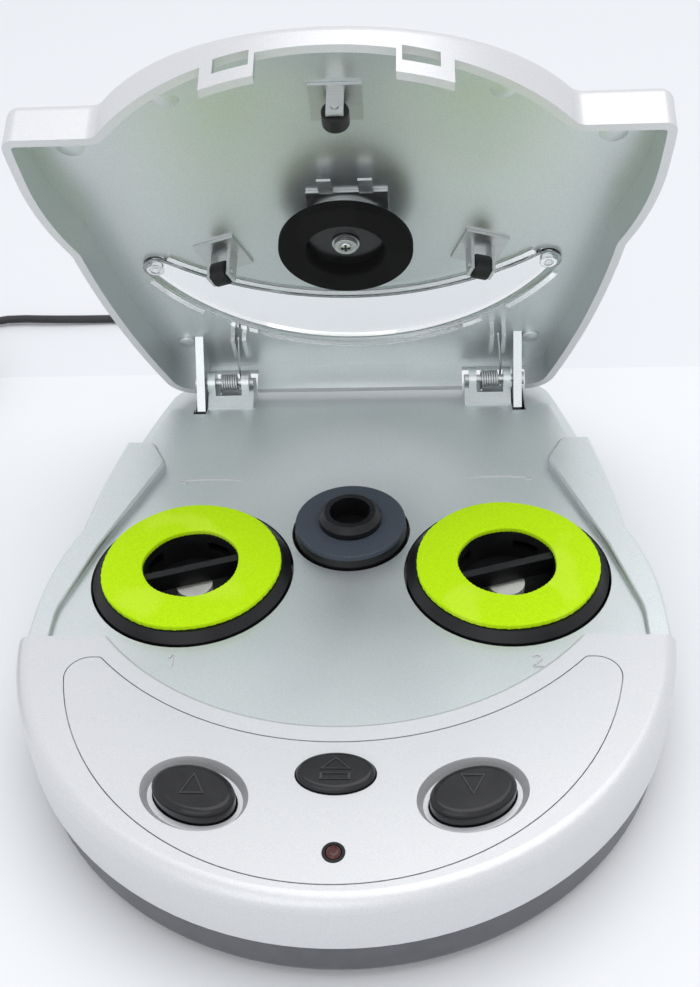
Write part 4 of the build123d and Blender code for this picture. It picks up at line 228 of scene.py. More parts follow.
# %% Node helpers
class Finish:
    """A material under construction: its nodes, and the sockets of its shader."""

    def __init__(self, name, colour, roughness, metallic=0.0, **sockets):
        self.material = bpy.data.materials.new(name)
        self.material.use_nodes = True
        self.tree = self.material.node_tree
        self.shader = self.tree.nodes["Principled BSDF"]
        self.shader.inputs["Base Color"].default_value = (*colour, 1)
        self.shader.inputs["Roughness"].default_value = roughness
        self.shader.inputs["Metallic"].default_value = metallic
        for socket, value in sockets.items():
            self.shader.inputs[socket.replace("_", " ")].default_value = value
        self.place = self.add("ShaderNodeTexCoord").outputs["Object"]

    def add(self, kind, **settings):
        """New node; a setting is one of its properties."""
        made = self.tree.nodes.new(kind)
        for key, value in settings.items():
            setattr(made, key, value)
        return made

    def link(self, output, socket):
        self.tree.links.new(output, socket)

    def noise(self, scale, detail=2.0, place=None):
        """Cloudy value from 0 to 1; the scale is in features per metre."""
        cloud = self.add("ShaderNodeTexNoise")
        cloud.inputs["Scale"].default_value = scale
        cloud.inputs["Detail"].default_value = detail
        self.link(place or self.place, cloud.inputs["Vector"])
        return cloud.outputs["Fac"]

    def spread(self, value, low, high):
        """Maps the middle of a noise to the range from low to high."""
        made = self.add("ShaderNodeMapRange")
        made.inputs["From Min"].default_value = 0.3
        made.inputs["From Max"].default_value = 0.7
        made.inputs["To Min"].default_value = low
        made.inputs["To Max"].default_value = high
        self.link(value, made.inputs["Value"])
        return made.outputs["Result"]

    def blend(self, share, first, second):
        """Colour between two, by a share from 0 to 1."""
        made = self.add("ShaderNodeMix", data_type="RGBA")
        self.link(share, made.inputs["Factor"])
        for socket, colour in ((made.inputs[6], first), (made.inputs[7], second)):
            if isinstance(colour, tuple):
                socket.default_value = (*colour, 1)
            else:
                self.link(colour, socket)
        return made.outputs[2]

    def colour(self, output):
        self.link(output, self.shader.inputs["Base Color"])

    def rough(self, output):
        self.link(output, self.shader.inputs["Roughness"])

    def bump(self, value, strength, depth):
        """Raises the surface by a value; depth is the height in metres."""
        made = self.add("ShaderNodeBump")
        made.inputs["Strength"].default_value = strength
        made.inputs["Distance"].default_value = depth
        self.link(value, made.inputs["Height"])
        self.link(made.outputs["Normal"], self.shader.inputs["Normal"])

    def math(self, operation, first, second=0.0):
        """One sum, product or comparison of two values."""
        made = self.add("ShaderNodeMath", operation=operation)
        for socket, value in zip(made.inputs, (first, second)):
            if isinstance(value, (int, float)):
                socket.default_value = value
            else:
                self.link(value, socket)
        return made.outputs[0]

    def along(self, vector, direction):
        """Share of a vector that points along a direction."""
        made = self.add("ShaderNodeVectorMath", operation="DOT_PRODUCT")
        self.link(vector, made.inputs[0])
        made.inputs[1].default_value = tuple(direction)
        return made.outputs["Value"]


# %% [markdown]
# ### Silver paint
# The outside of the machine has a pearly, nearly white silver, and the deck and the inside of the
# lid a cooler and darker one. Both are paints with tiny flakes: the flakes vary the colour a
# little from speck to speck, and the film has a faint orange-peel ripple.

# %% Silver paints
PEARL = (0.72, 0.725, 0.735)
PEARL_SPECK = (0.65, 0.655, 0.675)
SILVER = (0.72, 0.755, 0.755)
SILVER_SPECK = (0.62, 0.66, 0.665)
FLAKE_SCALE = 5200
RIPPLE_SCALE = 900
GLOSS_SCALE = 60
PEARL_METAL, SILVER_METAL = 0.45, 0.88
PEARL_GLOSS, SILVER_GLOSS = (0.32, 0.38), (0.36, 0.43)
PAINT_ROUGH = 0.33


def add_film(finish, gloss=SILVER_GLOSS):
    """Ripple and uneven gloss of a sprayed film."""
    finish.rough(finish.spread(finish.noise(GLOSS_SCALE, 3), *gloss))
    finish.bump(finish.noise(RIPPLE_SCALE, 1), 0.25, 0.00003)


def flakes(finish):
    """Share from 0 to 1 that changes from flake to flake."""
    return finish.spread(finish.noise(FLAKE_SCALE, 0), 0, 1)


pearl = Finish("pearl_paint", PEARL, PAINT_ROUGH, PEARL_METAL, Coat_Weight=0.15, Coat_Roughness=0.2)
pearl.colour(pearl.blend(flakes(pearl), PEARL, PEARL_SPECK))
add_film(pearl, PEARL_GLOSS)
print("pearl paint made")

# %% [markdown]
# The housing and the lid are each one moulding with both paints, so their material chooses
# between them by place. On the housing the pearl covers what is in front of the shoulders and
# outside the round bay. On the lid the silver covers what faces the disc: the ceiling, which
# looks down when the lid is shut, and the inner side of the skirt, which looks to the middle.

# %% Two-tone paints
SHOULDER_Y = -41.0
BAY_R = 64.5
PAINT_EDGE = 0.2


def two_tone(name, pearl_share):
    """Silver paint whose share of pearl is worked out by a function of the finish."""
    made = Finish(name, SILVER, PAINT_ROUGH, SILVER_METAL, Coat_Weight=0.10, Coat_Roughness=0.2)
    speck = flakes(made)
    share = pearl_share(made)
    inside = made.blend(speck, SILVER, SILVER_SPECK)
    outside = made.blend(speck, PEARL, PEARL_SPECK)
    made.colour(made.blend(share, inside, outside))
    metal = made.add("ShaderNodeMapRange")
    metal.inputs["To Min"].default_value = SILVER_METAL
    metal.inputs["To Max"].default_value = PEARL_METAL
    made.link(share, metal.inputs["Value"])
    made.link(metal.outputs["Result"], made.shader.inputs["Metallic"])
    add_film(made)
    return made


def housing_pearl(finish):
    """1 in front of the shoulders and outside the bay."""
    split = finish.add("ShaderNodeSeparateXYZ")
    finish.link(finish.place, split.inputs[0])
    x = split.outputs["X"]
    y = finish.math("SUBTRACT", split.outputs["Y"], SPINDLE[1])
    squares = finish.math("MULTIPLY", x, x), finish.math("MULTIPLY", y, y)
    reach = finish.math("SQRT", finish.math("ADD", *squares))
    front = finish.math("LESS_THAN", y, (SHOULDER_Y + PAINT_EDGE) * MM)
    outside = finish.math("GREATER_THAN", reach, (BAY_R - PAINT_EDGE) * MM)
    return finish.math("MULTIPLY", front, outside)


housing_paint = two_tone("housing_paint", housing_pearl)
print("housing paint made")


# %% Lid paint
CEILING_Z = 28.0
INNER_REACH = -0.004
DOWNWARD = -0.5


def lid_pearl(finish):
    """0 on faces that look at the disc, 1 elsewhere. It goes by the lid's own directions."""
    face = finish.add("ShaderNodeNewGeometry").outputs["True Normal"]
    own = finish.add("ShaderNodeVectorTransform", vector_type="NORMAL")
    own.convert_from, own.convert_to = "WORLD", "OBJECT"
    finish.link(face, own.inputs[0])
    normal = own.outputs[0]
    arm = finish.add("ShaderNodeVectorMath", operation="SUBTRACT")
    finish.link(finish.place, arm.inputs[0])
    arm.inputs[1].default_value = tuple(HINGE)
    across = finish.along(arm.outputs[0], LID_X)
    behind = finish.math("SUBTRACT", finish.along(arm.outputs[0], LID_Y), -HINGE_FROM_SPINDLE[1])
    height = finish.math("ADD", finish.along(arm.outputs[0], LID_Z), HINGE[2])
    outward = finish.math(
        "ADD",
        finish.math("MULTIPLY", across, finish.along(normal, LID_X)),
        finish.math("MULTIPLY", behind, finish.along(normal, LID_Y)),
    )
    inner_side = finish.math("LESS_THAN", outward, INNER_REACH)
    downward = finish.math("LESS_THAN", finish.along(normal, LID_Z), DOWNWARD)
    above_rim = finish.math("GREATER_THAN", height, CEILING_Z * MM)
    ceiling = finish.math("MULTIPLY", downward, above_rim)
    return finish.math("SUBTRACT", 1.0, finish.math("MAXIMUM", inner_side, ceiling))


lid_paint = two_tone("lid_paint", lid_pearl)
silver = Finish(
    "silver_paint", SILVER, PAINT_ROUGH, SILVER_METAL, Coat_Weight=0.10, Coat_Roughness=0.2
)
silver.colour(silver.blend(flakes(silver), SILVER, SILVER_SPECK))
add_film(silver)
print("lid paint made")

# %% [markdown]
# ### Plastics, rubber and foam
# The black parts are moulded: the keys are glossy, the holders have a fine matt spark-eroded
# texture. The ring of the turntable is a fine-grained rubber. The pads are an open, lime green
# foam with a soft nap, so they get a little sheen and pores. The pores' shade is painted into
# the colour as a darker tone.

# %% Plastics
DUST_SCALE, POLISH_SCALE = 240, 120


def moulded(name, colour, roughness, grain=2600, depth=0.00002, **sockets):
    """Moulded plastic: fine grain, a little unevenness of gloss, faint dust in the colour."""
    made = Finish(name, colour, roughness, **sockets)
    lighter = tuple(min(1.0, channel * 1.25 + 0.004) for channel in colour)
    made.colour(made.blend(made.spread(made.noise(DUST_SCALE, 4), 0, 1), colour, lighter))
    made.rough(made.spread(made.noise(POLISH_SCALE, 3), roughness - 0.05, roughness + 0.06))
    made.bump(made.noise(grain, 2), 0.4, depth)
    return made


black_plastic = moulded("black_plastic", (0.005, 0.005, 0.006), 0.34, Specular_IOR_Level=0.3)
black_gloss = moulded(
    "black_gloss", (0.008, 0.008, 0.009), 0.20, 900, 0.000006, Specular_IOR_Level=0.4
)
grey_plastic = moulded("grey_pan", (0.075, 0.078, 0.088), 0.34)
white_plastic = moulded("white_plastic", (0.72, 0.72, 0.69), 0.45)
board_laminate = moulded("board_laminate", (0.02, 0.13, 0.05), 0.35)
lamp_lens = moulded("lamp_lens", (0.060, 0.006, 0.006), 0.12, 700, 0.000005)
black_rubber = moulded(
    "black_rubber", (0.008, 0.008, 0.009), 0.45, 1800, 0.00003, Specular_IOR_Level=0.3
)
cord_jacket = moulded("cord_jacket", (0.012, 0.012, 0.013), 0.45, 1500, 0.00001)
print("plastics made")


# %% Rubber ring and foams
RING, RING_DARK, RING_PALE = (0.036, 0.047, 0.066), (0.028, 0.038, 0.055), (0.058, 0.072, 0.096)
ring_rubber = Finish("ring_rubber", RING, 0.62)
ring_speck = ring_rubber.spread(ring_rubber.noise(4200, 1), 0, 1)
ring_rubber.colour(ring_rubber.blend(ring_speck, RING_DARK, RING_PALE))
ring_rubber.bump(ring_rubber.noise(3600, 2), 0.6, 0.00005)


PATCH_FROM, PATCH_TO, PATCH_SHARE = 0.52, 0.60, 0.35


def foam(name, pore_shade, bright, worn, grain, sheen):
    """Foam: pores painted a darker colour as their shade, bright on the nap, broad paler patches."""
    made = Finish(
        name, bright, 0.85, Sheen_Weight=sheen, Sheen_Roughness=0.5, Specular_IOR_Level=0.15
    )
    # The pores are the low spots of the bump's noise, so their darker colour is painted shade.
    pores = made.spread(made.noise(grain, 3), 0, 1)
    surface = made.blend(pores, pore_shade, bright)
    patches = made.add("ShaderNodeMapRange")
    patches.inputs["From Min"].default_value = PATCH_FROM
    patches.inputs["From Max"].default_value = PATCH_TO
    patches.inputs["To Max"].default_value = PATCH_SHARE
    made.link(made.noise(70, 1), patches.inputs["Value"])
    made.colour(made.blend(patches.outputs["Result"], surface, worn))
    made.bump(made.noise(grain, 3), 0.8, 0.00012)
    return made


LIME = (0.62, 0.96, 0.004)
# The darker lime is painted shade in the pores of the pads.
LIME_PORE_SHADE = (0.50, 0.84, 0.002)
LIME_WORN = (0.72, 0.97, 0.07)
# The darkest of these blacks is painted shade in the pores of the clamp's foam.
BLACK, BLACK_PORE_SHADE, BLACK_WORN = ((grey, grey, grey) for grey in (0.009, 0.004, 0.012))
pad_foam = foam("pad_foam", LIME_PORE_SHADE, LIME, LIME_WORN, 3200, 0.03)
clamp_foam = foam("clamp_foam", BLACK_PORE_SHADE, BLACK, BLACK_WORN, 4200, 0.0)
print("foams made")

# %% [markdown]
# ### Metal and clear plastic
# The brackets are stamped sheet: bright, with faint scratches along one way. The window is clear
# plastic, which is drawn as a slightly grey glass that bends light less than real glass does, so
# its thin edges stay pale.

# %% Metals
SCRATCH_SCALES = (60, 1200, 900)


def metal(name, colour, roughness):
    """Stamped or drawn metal: noise stretched along one way gives fine scratches."""
    made = Finish(name, colour, roughness, 1.0)
    stretch = made.add("ShaderNodeMapping")
    stretch.inputs["Scale"].default_value = SCRATCH_SCALES
    made.link(made.place, stretch.inputs["Vector"])
    lines = made.noise(2.0, 3, stretch.outputs["Vector"])
    made.rough(made.spread(lines, roughness - 0.06, roughness + 0.10))
    darker = tuple(channel * 0.95 for channel in colour)
    made.colour(made.blend(made.spread(lines, 0, 1), colour, darker))
    made.bump(lines, 0.05, 0.000004)
    return made


bright_steel = metal("bright_steel", (0.62, 0.63, 0.63), 0.34)
brass = metal("brass", (0.72, 0.56, 0.26), 0.28)
clear = Finish("clear_plastic", (0.86, 0.875, 0.875), 0.06, Transmission_Weight=1.0, IOR=1.3)
clear.rough(clear.spread(clear.noise(80, 2), 0.04, 0.11))
clear.bump(clear.noise(260, 2), 0.2, 0.00002)
print("metals and window made")

# %% [markdown]
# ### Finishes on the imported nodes
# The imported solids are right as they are, so they stay and get a finish each.

# %% Finishes of the nodes
NODE_FINISHES = {
    housing_paint: ["top_shell"],
    pearl: ["panel_inlay"],
    lid_paint: ["lid"],
    silver: ["clamp_cup"],
    grey_plastic: ["pan", "latch_slide"],
    black_gloss: ["clean_key", "repair_key", "open_key", "clamp_core"],
    black_plastic: [
        "spindle_hub", "pad_holder_left", "pad_holder_right", "lamp_bezel", "supply_jack",
        "adapter", "clean_switch", "repair_switch",
    ],
    black_rubber: [
        "foot_1", "foot_2", "foot_3", "foot_4", "supply_plug", "coil_tie",
        "roller_left", "roller_right", "roller_front",
    ],
    ring_rubber: ["turntable_ring"],
    white_plastic: ["spindle_gear", "pad_gear_left", "pad_gear_right", "idler_gear"],
    board_laminate: ["circuit_board"],
    lamp_lens: ["lamp"],
    clear: ["lid_window"],
    brass: ["motor_pinion", "adapter_blades"],
    bright_steel: [
        "gear_plate", "motor", "hinge_pin_left", "hinge_pin_right", "hinge_spring_left",
        "hinge_spring_right", "spring_leg_left", "spring_leg_right", "clamp_plate", "clamp_stem",
        "roller_bracket_left", "roller_bracket_right", "roller_bracket_front",
        "roller_pin_left", "roller_pin_right", "roller_pin_front",
    ],
}
finished = set()
for finish, names in NODE_FINISHES.items():
    for name in names:
        slots = frame["nodes"][name].data.materials
        slots.clear()
        slots.append(finish.material)
        finished.add(name)
print("nodes with a finish:", len(finished))

# %% [markdown]
# ## Polishing pads
# Each pad is a ring of foam glued to its holder. The cut edge isn't quite true: the knife leaves
# a slight wave and a fine ragged nap. The ring is a rounded section turned round the pad's axis,
# and the wave is a sum of a few sines of the angle, so it is the same at every run.

# %% Pads
PAD_TURNS = 360
PAD_EDGE_R = 0.35
PAD_HOLE_R = 11.1
PAD_INSET = 0.12


def cut_wave(angle, radius):
    """Slow wave of the cut and a fine nap, in millimetres."""
    slow = 0.10 * np.sin(3 * angle + 0.4 * radius) + 0.06 * np.sin(7 * angle + radius)
    return slow + 0.045 * np.sin(61 * angle + 3 * radius) + 0.03 * np.sin(113 * angle + radius)


for hand in ("left", "right"):
    low, high = node_box(f"pad_{hand}")
    middle = ((low + high) / 2 - SPINDLE) / MM
    outer = (high[0] - low[0]) / 2 / MM - PAD_INSET
    base_z = low[2] / MM
    top_z = high[2] / MM
    corners = [(PAD_HOLE_R, base_z), (outer, base_z), (outer, top_z), (PAD_HOLE_R, top_z)]
    section = rounded_profile(corners, PAD_EDGE_R)
    places = turned_points(section, (middle[0], middle[1], 0), PAD_TURNS, in_base, cut_wave)
    mesh = grid_mesh(f"pad_foam_{hand}", places[::-1], close_u=True, close_v=True)
    pad = add_piece(f"pad_foam_{hand}", mesh, f"pad_{hand}", pad_foam.material)
    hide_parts(f"pad_{hand}")
    print(pad.name, "outer radius", round(outer, 2), "mm")

# %% [markdown]
# ## Foam ring of the clamp
# The clamp presses the disc down with a ring of firm foam round a glossy core. Its rim is
# rounded, so it is turned from a rounded section too, in the shut lid's own coordinates.

# %% Clamp ring
CLAMP_R = 15.7
CLAMP_HOLE_R = 9.25
CLAMP_LOW_Z = 25.3
CLAMP_T = 4.3
CLAMP_RIM_SHARE = 0.6
CLAMP_TAPER = 2.5
CLAMP_EDGE_R = 0.55
CLAMP_TURNS = 192
clamp_corners = [
    (CLAMP_HOLE_R, CLAMP_LOW_Z),
    (CLAMP_R, CLAMP_LOW_Z),
    (CLAMP_R, CLAMP_LOW_Z + CLAMP_RIM_SHARE * CLAMP_T),
    (CLAMP_R - CLAMP_TAPER, CLAMP_LOW_Z + CLAMP_T),
    (CLAMP_HOLE_R, CLAMP_LOW_Z + CLAMP_T),
]
clamp_section = rounded_profile(clamp_corners, CLAMP_EDGE_R)
clamp_places = turned_points(clamp_section, (0, 0, 0), CLAMP_TURNS, in_lid)
clamp_mesh = grid_mesh("clamp_foam", clamp_places[::-1], close_u=True, close_v=True)
clamp_ring = add_piece("clamp_foam", clamp_mesh, "clamp", clamp_foam.material)
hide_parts("clamp_ring")
print("clamp ring, radius", CLAMP_R, "mm")

# %% [markdown]
# ## Supply lead
# The lead is one length of round flexible cord. It leaves the plug at the back, drops to the
# table, runs off behind the machine to the left, and what is left of it is wound into a coil
# held by a tie, before it reaches the adapter. A cord is best drawn as one smooth spline: the
# route's points are its control points, and the coil's are worked out turn by turn.

# %% Route of the lead
CORD_R = 1.3
JACK = (-24.0, 8.0)
plug_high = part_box("supply_plug")[1]
CORD_START_Y = (plug_high[1] - SPINDLE[1]) / MM
COIL_MIDDLE = (-145.1, 92.1)
COIL_LIFT = 0.7
COIL_START = 120.0
COIL_OUTER_R = 19.8
COIL_PITCH = 3.5
COIL_RISE = 3.2
COIL_TURNS = 3
COIL_LAYERS = 4
LEAD_RUN = 33.0
TAIL_RUN = 15.0
ADAPTER_X, ADAPTER_TIP_Y, ADAPTER_Z = -192.0, 64.0, 13.5
POINTS_PER_HALF = 8


def coil_points():
    """Radius and height change evenly with the angle; a layer ends in half a turn that climbs."""
    spots = []
    radius, height, angle = COIL_OUTER_R, 0.0, math.radians(COIL_START)
    for layer in range(COIL_LAYERS):
        inward = -1 if layer % 2 == 0 else 1
        halves = 2 * COIL_TURNS + (1 if layer == COIL_LAYERS - 1 else 0)
        legs = [(inward * COIL_PITCH / 2, 0.0)] * halves
        if layer < COIL_LAYERS - 1:
            legs.append((0.0, COIL_RISE))
        for grow, climb in legs:
            share = np.arange(POINTS_PER_HALF) / POINTS_PER_HALF
            turn = angle + math.pi * share
            reach = radius + grow * share
            rise = height + climb * share
            x = COIL_MIDDLE[0] + reach * np.cos(turn)
            y = COIL_MIDDLE[1] + reach * np.sin(turn)
            spots.append(np.stack([x, y, CORD_R + COIL_LIFT + rise], axis=1))
            radius, height, angle = radius + grow, height + climb, angle + math.pi
    return np.concatenate(spots)


coil = coil_points()
coil_in_way = coil[1] - coil[0]
coil_in_way /= np.linalg.norm(coil_in_way)
coil_out_way = coil[-1] - coil[-2]
coil_out_way /= np.linalg.norm(coil_out_way)
lead = [
    (JACK[0], CORD_START_Y, JACK[1]),
    (JACK[0], CORD_START_Y + 10, JACK[1]),
    (-28, 118.5, 4.6),
    (-41, 128, 1.6),
    (-58, 132.2, CORD_R),
    (-80, 132.6, CORD_R),
    (-105, 131.6, CORD_R + COIL_LIFT),
    tuple(coil[0] - coil_in_way * (LEAD_RUN + 2 * CORD_R)),
    tuple(coil[0] - coil_in_way * 2 * CORD_R),
]
tail = [
    tuple(coil[-1] + coil_out_way * (TAIL_RUN + 2 * CORD_R)),
    (-187, 91, 12.6),
    (ADAPTER_X, ADAPTER_TIP_Y + TAIL_RUN, ADAPTER_Z),
    (ADAPTER_X, ADAPTER_TIP_Y, ADAPTER_Z),
]
route = in_base(np.concatenate([lead, coil, tail]))
print("route points:", len(route))


def spline_cord(name, points, radius):
    """Round cord on one NURBS spline with the route's points as its control points."""
    curve = bpy.data.curves.new(name, "CURVE")
    curve.dimensions = "3D"
    curve.bevel_depth = radius
    curve.bevel_resolution = 3
    curve.resolution_u = 4
    curve.use_fill_caps = True
    spline = curve.splines.new("NURBS")
    spline.points.add(len(points) - 1)
    weighted = np.hstack([points, np.ones((len(points), 1))])
    spline.points.foreach_set("co", weighted.ravel())
    spline.order_u = 3
    spline.use_endpoint_u = True
    return curve


cord_curve = spline_cord("supply_cord", route, CORD_R * MM)
cord_curve.materials.append(cord_jacket.material)
supply_cord = bpy.data.objects.new("supply_cord", cord_curve)
bpy.context.collection.objects.link(supply_cord)
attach(supply_cord, "base")
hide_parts("supply_lead", "supply_coil", "supply_tail")
line_curve = spline_cord("line_only", route, 0)
line = bpy.data.objects.new("line_only", line_curve)
line_mesh = bpy.data.meshes.new_from_object(line)
spots = np.empty(len(line_mesh.vertices) * 3)
line_mesh.vertices.foreach_get("co", spots)
bpy.data.objects.remove(line)

# %% [markdown]
# ## Hinge springs
# A torsion spring sits on each hinge pin and pushes the lid open. Its coil is wound close, so it
# is drawn as a helix of seven turns with a straight foot in the housing. The other leg rides on the
# lid: half a turn beside the coil, then straight up between the lid's two ribs.

# %% Springs
SPRING_WIRE, SPRING_R = 0.6, 2.0
SPRING_TURNS, SPRING_LENGTH = 7, 4.48
SPRING_STARTS = {"left": -37.8, "right": 33.3}
LEG_RIBS = {"left": -31.4, "right": 37.4}
FOOT_L = 3.1
LEG_GAP = 0.15
LEG_KNEE, LEG_TIP = (-3.5, 2.4), (-14.5, 5.2)
FOOT_END = 0.3
TURN_STEPS = 24
HINGE_Y, HINGE_Z = (HINGE_FROM_SPINDLE / MM)[1:]


def round_pin(angle):
    """Places of a turn of wire round the hinge pin, as y and z in millimetres."""
    return HINGE_Y + SPRING_R * np.cos(angle), HINGE_Z + SPRING_R * np.sin(angle)


for hand, start_x in SPRING_STARTS.items():
    turn = np.linspace(0, 2 * math.pi * SPRING_TURNS, TURN_STEPS * SPRING_TURNS + 1)
    y, z = round_pin(turn - math.pi / 2)
    x = start_x + SPRING_LENGTH * turn / turn[-1]
    foot_y = HINGE_Y - np.linspace(FOOT_L, FOOT_END, 5)
    foot = np.column_stack([np.full(5, start_x), foot_y, np.full(5, HINGE_Z - SPRING_R)])
    wire = in_base(np.concatenate([foot, np.column_stack([x, y, z])]))
    coil_mesh = tube_mesh(f"spring_coil_{hand}", wire, SPRING_WIRE / 2 * MM, LID_X)
    spring = add_piece(f"spring_coil_{hand}", coil_mesh, "base", bright_steel.material)
    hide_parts(f"hinge_spring_{hand}")

    leg_x = start_x + SPRING_LENGTH + SPRING_WIRE + LEG_GAP
    y, z = round_pin(np.linspace(-math.pi / 2, math.pi / 2, 13))
    half_turn = np.column_stack([np.full(13, leg_x), y, z])
    knee = np.array([leg_x, HINGE_Y + LEG_KNEE[0], HINGE_Z + LEG_KNEE[1]])
    tip = np.array([LEG_RIBS[hand], HINGE_Y + LEG_TIP[0], HINGE_Z + LEG_TIP[1]])
    straight = knee + np.linspace(0, 1, 9)[:, None] * (tip - knee)
    wire = in_lid(np.concatenate([half_turn, straight]))
    leg_mesh = tube_mesh(f"spring_wire_{hand}", wire, SPRING_WIRE / 2 * MM, LID_X)
    leg = add_piece(f"spring_wire_{hand}", leg_mesh, "lid", bright_steel.material)
    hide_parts(f"spring_leg_{hand}")
print("springs of", SPRING_TURNS, "turns")

# %% [markdown]
# ## Raised marks
# Keys and deck have small raised marks, moulded in. Only plain symbols are used: a play triangle
# on the two round keys, an eject sign on the middle one, and the numbers 1 and 2 by the pads. A
# mark is a flat outline raised a little, its edge bevelled so that it catches the light. The
# marks on the keys are also a lighter grey than the black key, as a painted highlight of their
# ridges.

# %% Raised outline
MARK_ROOT = -0.15
MARK_TOP_SHARE = 0.93
MARK_BEVEL_SHARE = 0.6


def raised_mark(name, outline, place, height, body, finish):
    """Outline points (x, y) raised to a plate; place maps (x, y, h) to the world."""
    outline = np.asarray(outline, float)
    count = len(outline)
    shrink = outline.mean(axis=0) + (outline - outline.mean(axis=0)) * MARK_TOP_SHARE
    rings = [
        np.column_stack([outline, np.full(count, MARK_ROOT)]),
        np.column_stack([outline, np.full(count, height * MARK_BEVEL_SHARE)]),
        np.column_stack([shrink, np.full(count, height)]),
    ]
    points = place(np.concatenate(rings))
    base = np.arange(count)
    ahead = np.roll(base, -1)
    faces = [tuple(base[::-1]), tuple(base + 2 * count)]
    for ring in (0, count):
        faces += list(zip(base + ring, ahead + ring, ahead + ring + count, base + ring + count))
    mesh = bpy.data.meshes.new(name)
    mesh.from_pydata(points.tolist(), [], [tuple(int(i) for i in face) for face in faces])
    mesh.update()
    piece = add_piece(name, mesh, body, finish.material)


# %% Marks of the keys
PANEL_TILT = math.radians(1.5)
PANEL_Z = 27.8
MARK_RISE = 0.22
RIDGE = ((1.0, -0.2), (0.96, MARK_RISE), (0.80, MARK_RISE), (0.74, -0.2))
KEY_PLACES = {
    "clean_key": (-26.0, -80.5, 1.7),
    "repair_key": (26.0, -80.5, 1.7),
    "open_key": (0.4, -76.2, 1.3),
}


def on_key(name):
    """Map from a key's own top, which slopes with the panel, to the world."""
    x, y, rise = KEY_PLACES[name]

    def place(points):
        points = np.asarray(points, float)
        ahead = y + points[:, 1]
        height = PANEL_Z + (ahead - SHOULDER_Y) * math.tan(PANEL_TILT) + rise + points[:, 2]
        return in_base(np.column_stack([x + points[:, 0], ahead, height]))

    return place


def key_frame(name, outline, key):
    """Ridge along a closed outline on a key: each ring of points is joined to the next, inwards."""
    place = on_key(key)
    outline = np.asarray(outline, float)
    middle = outline.mean(axis=0)
    rings = []
    for share, height in RIDGE:
        flat = middle + (outline - middle) * share
        rings.append(place(np.column_stack([flat, np.full(len(flat), height)])))
    mesh = grid_mesh(name, np.array(rings)[:, ::-1], close_v=True, smooth=False)
    piece = add_piece(name, mesh, key, mark_highlight_gloss.material)


# Painted highlight: the ridges on the keys are a lighter grey than the key itself.
mark_highlight_gloss = moulded("mark_highlight_gloss", (0.030, 0.030, 0.033), 0.30, 900, 0.000006)
FLIPPED_UP = 1.6
triangle = np.array([(0.0, 3.3), (-2.4, -1.5), (2.4, -1.5)])
arrow = np.array([(-3.0, 0.1), (3.0, 0.1), (0.0, 2.9)])
bar = np.array([(-3.0, -2.2), (3.0, -2.2), (3.0, -0.8), (-3.0, -0.8)])
key_frame("clean_key_mark", triangle, "clean_key")
key_frame("repair_key_mark", -triangle + (0, FLIPPED_UP), "repair_key")
key_frame("eject_arrow", arrow, "open_key")
key_frame("eject_bar", bar, "open_key")
print("key marks made")

# %% [markdown]
# ### Marks of the deck
# A curved arrow by each pad shows which way its holder turns, and a plain number stands in front
# of it. A stroke of even width follows a line: its outline is the line moved to either side.

# %% Marks of the deck
DECK_Z = 21.0
STROKE = 0.55
DECK_MARK_RISE = 0.25
ARROW_R = 34.9
ARROW_SPANS = {"left": (77.0, 103.5), "right": (103.0, 76.5)}
HEAD_L = 2.0
HEAD_LEAN = 35


def stroke_outline(line):
    """Closed outline of a line of even width."""
    line = np.asarray(line, float)
    way = np.gradient(line, axis=0)
    way /= np.linalg.norm(way, axis=1, keepdims=True)
    side = np.column_stack([-way[:, 1], way[:, 0]]) * STROKE / 2
    return np.concatenate([line - side, (line + side)[::-1]])


def on_deck(points):
    points = np.asarray(points, float)
    return in_base(np.column_stack([points[:, :2], DECK_Z + points[:, 2]]))


def arc_line(centre, radius, first, last, count=17):
    """Points of an arc between two angles in degrees."""
    angle = np.radians(np.linspace(first, last, count))
    return np.asarray(centre) + radius * np.column_stack([np.cos(angle), np.sin(angle)])


deck_marks = {}
for hand, span in ARROW_SPANS.items():
    low, high = node_box(f"pad_{hand}")
    pad_middle = (((low + high) / 2 - SPINDLE) / MM)[:2]
    shaft = arc_line(pad_middle, ARROW_R, *span)
    deck_marks[f"arrow_{hand}"] = shaft
    back = shaft[-3] - shaft[-1]
    back /= np.linalg.norm(back)
    for name, lean in (("outer", HEAD_LEAN), ("inner", -HEAD_LEAN)):
        c, d = math.cos(math.radians(lean)), math.sin(math.radians(lean))
        barb = np.array([back[0] * c - back[1] * d, back[0] * d + back[1] * c]) * HEAD_L
        deck_marks[f"arrow_{hand}_{name}"] = shaft[-1] + np.linspace(0, 1, 3)[:, None] * barb
ONE_PLACE, TWO_PLACE = np.array([(-36.8, -42.0), (41.0, -42.0)])
NUMBER_H = 3.2
half_h = NUMBER_H / 2
one_stem = [(0, -half_h), (0, 0), (0, half_h)]
one_flag = [(-0.8, 0.9), (-0.4, 1.25), (0, half_h)]
two_top = arc_line((0, 0.75), 0.95, 165, -35, 13)
two_foot = np.array([(-0.95, -half_h), (0, -half_h), (1.1, -half_h)])
two_slope = np.linspace(two_top[-1], two_foot[0], 5)[1:]
deck_marks["number_1"] = ONE_PLACE + one_stem
deck_marks["number_1_flag"] = ONE_PLACE + one_flag
deck_marks["number_2"] = TWO_PLACE + np.concatenate([two_top, two_slope])
deck_marks["number_2_foot"] = TWO_PLACE + two_foot
for name, line in deck_marks.items():
    raised_mark(name, stroke_outline(line), on_deck, DECK_MARK_RISE, "base", pearl)
print("marks on the deck:", len(deck_marks))

# %% [markdown]
# ## Small fasteners
# A cross-head screw on a washer holds the middle of the clamp. Its head is a dome turned from a
# profile. The cross recess isn't cut: a thin black cross on top of the dome is painted shade
# where the recess would be dark.

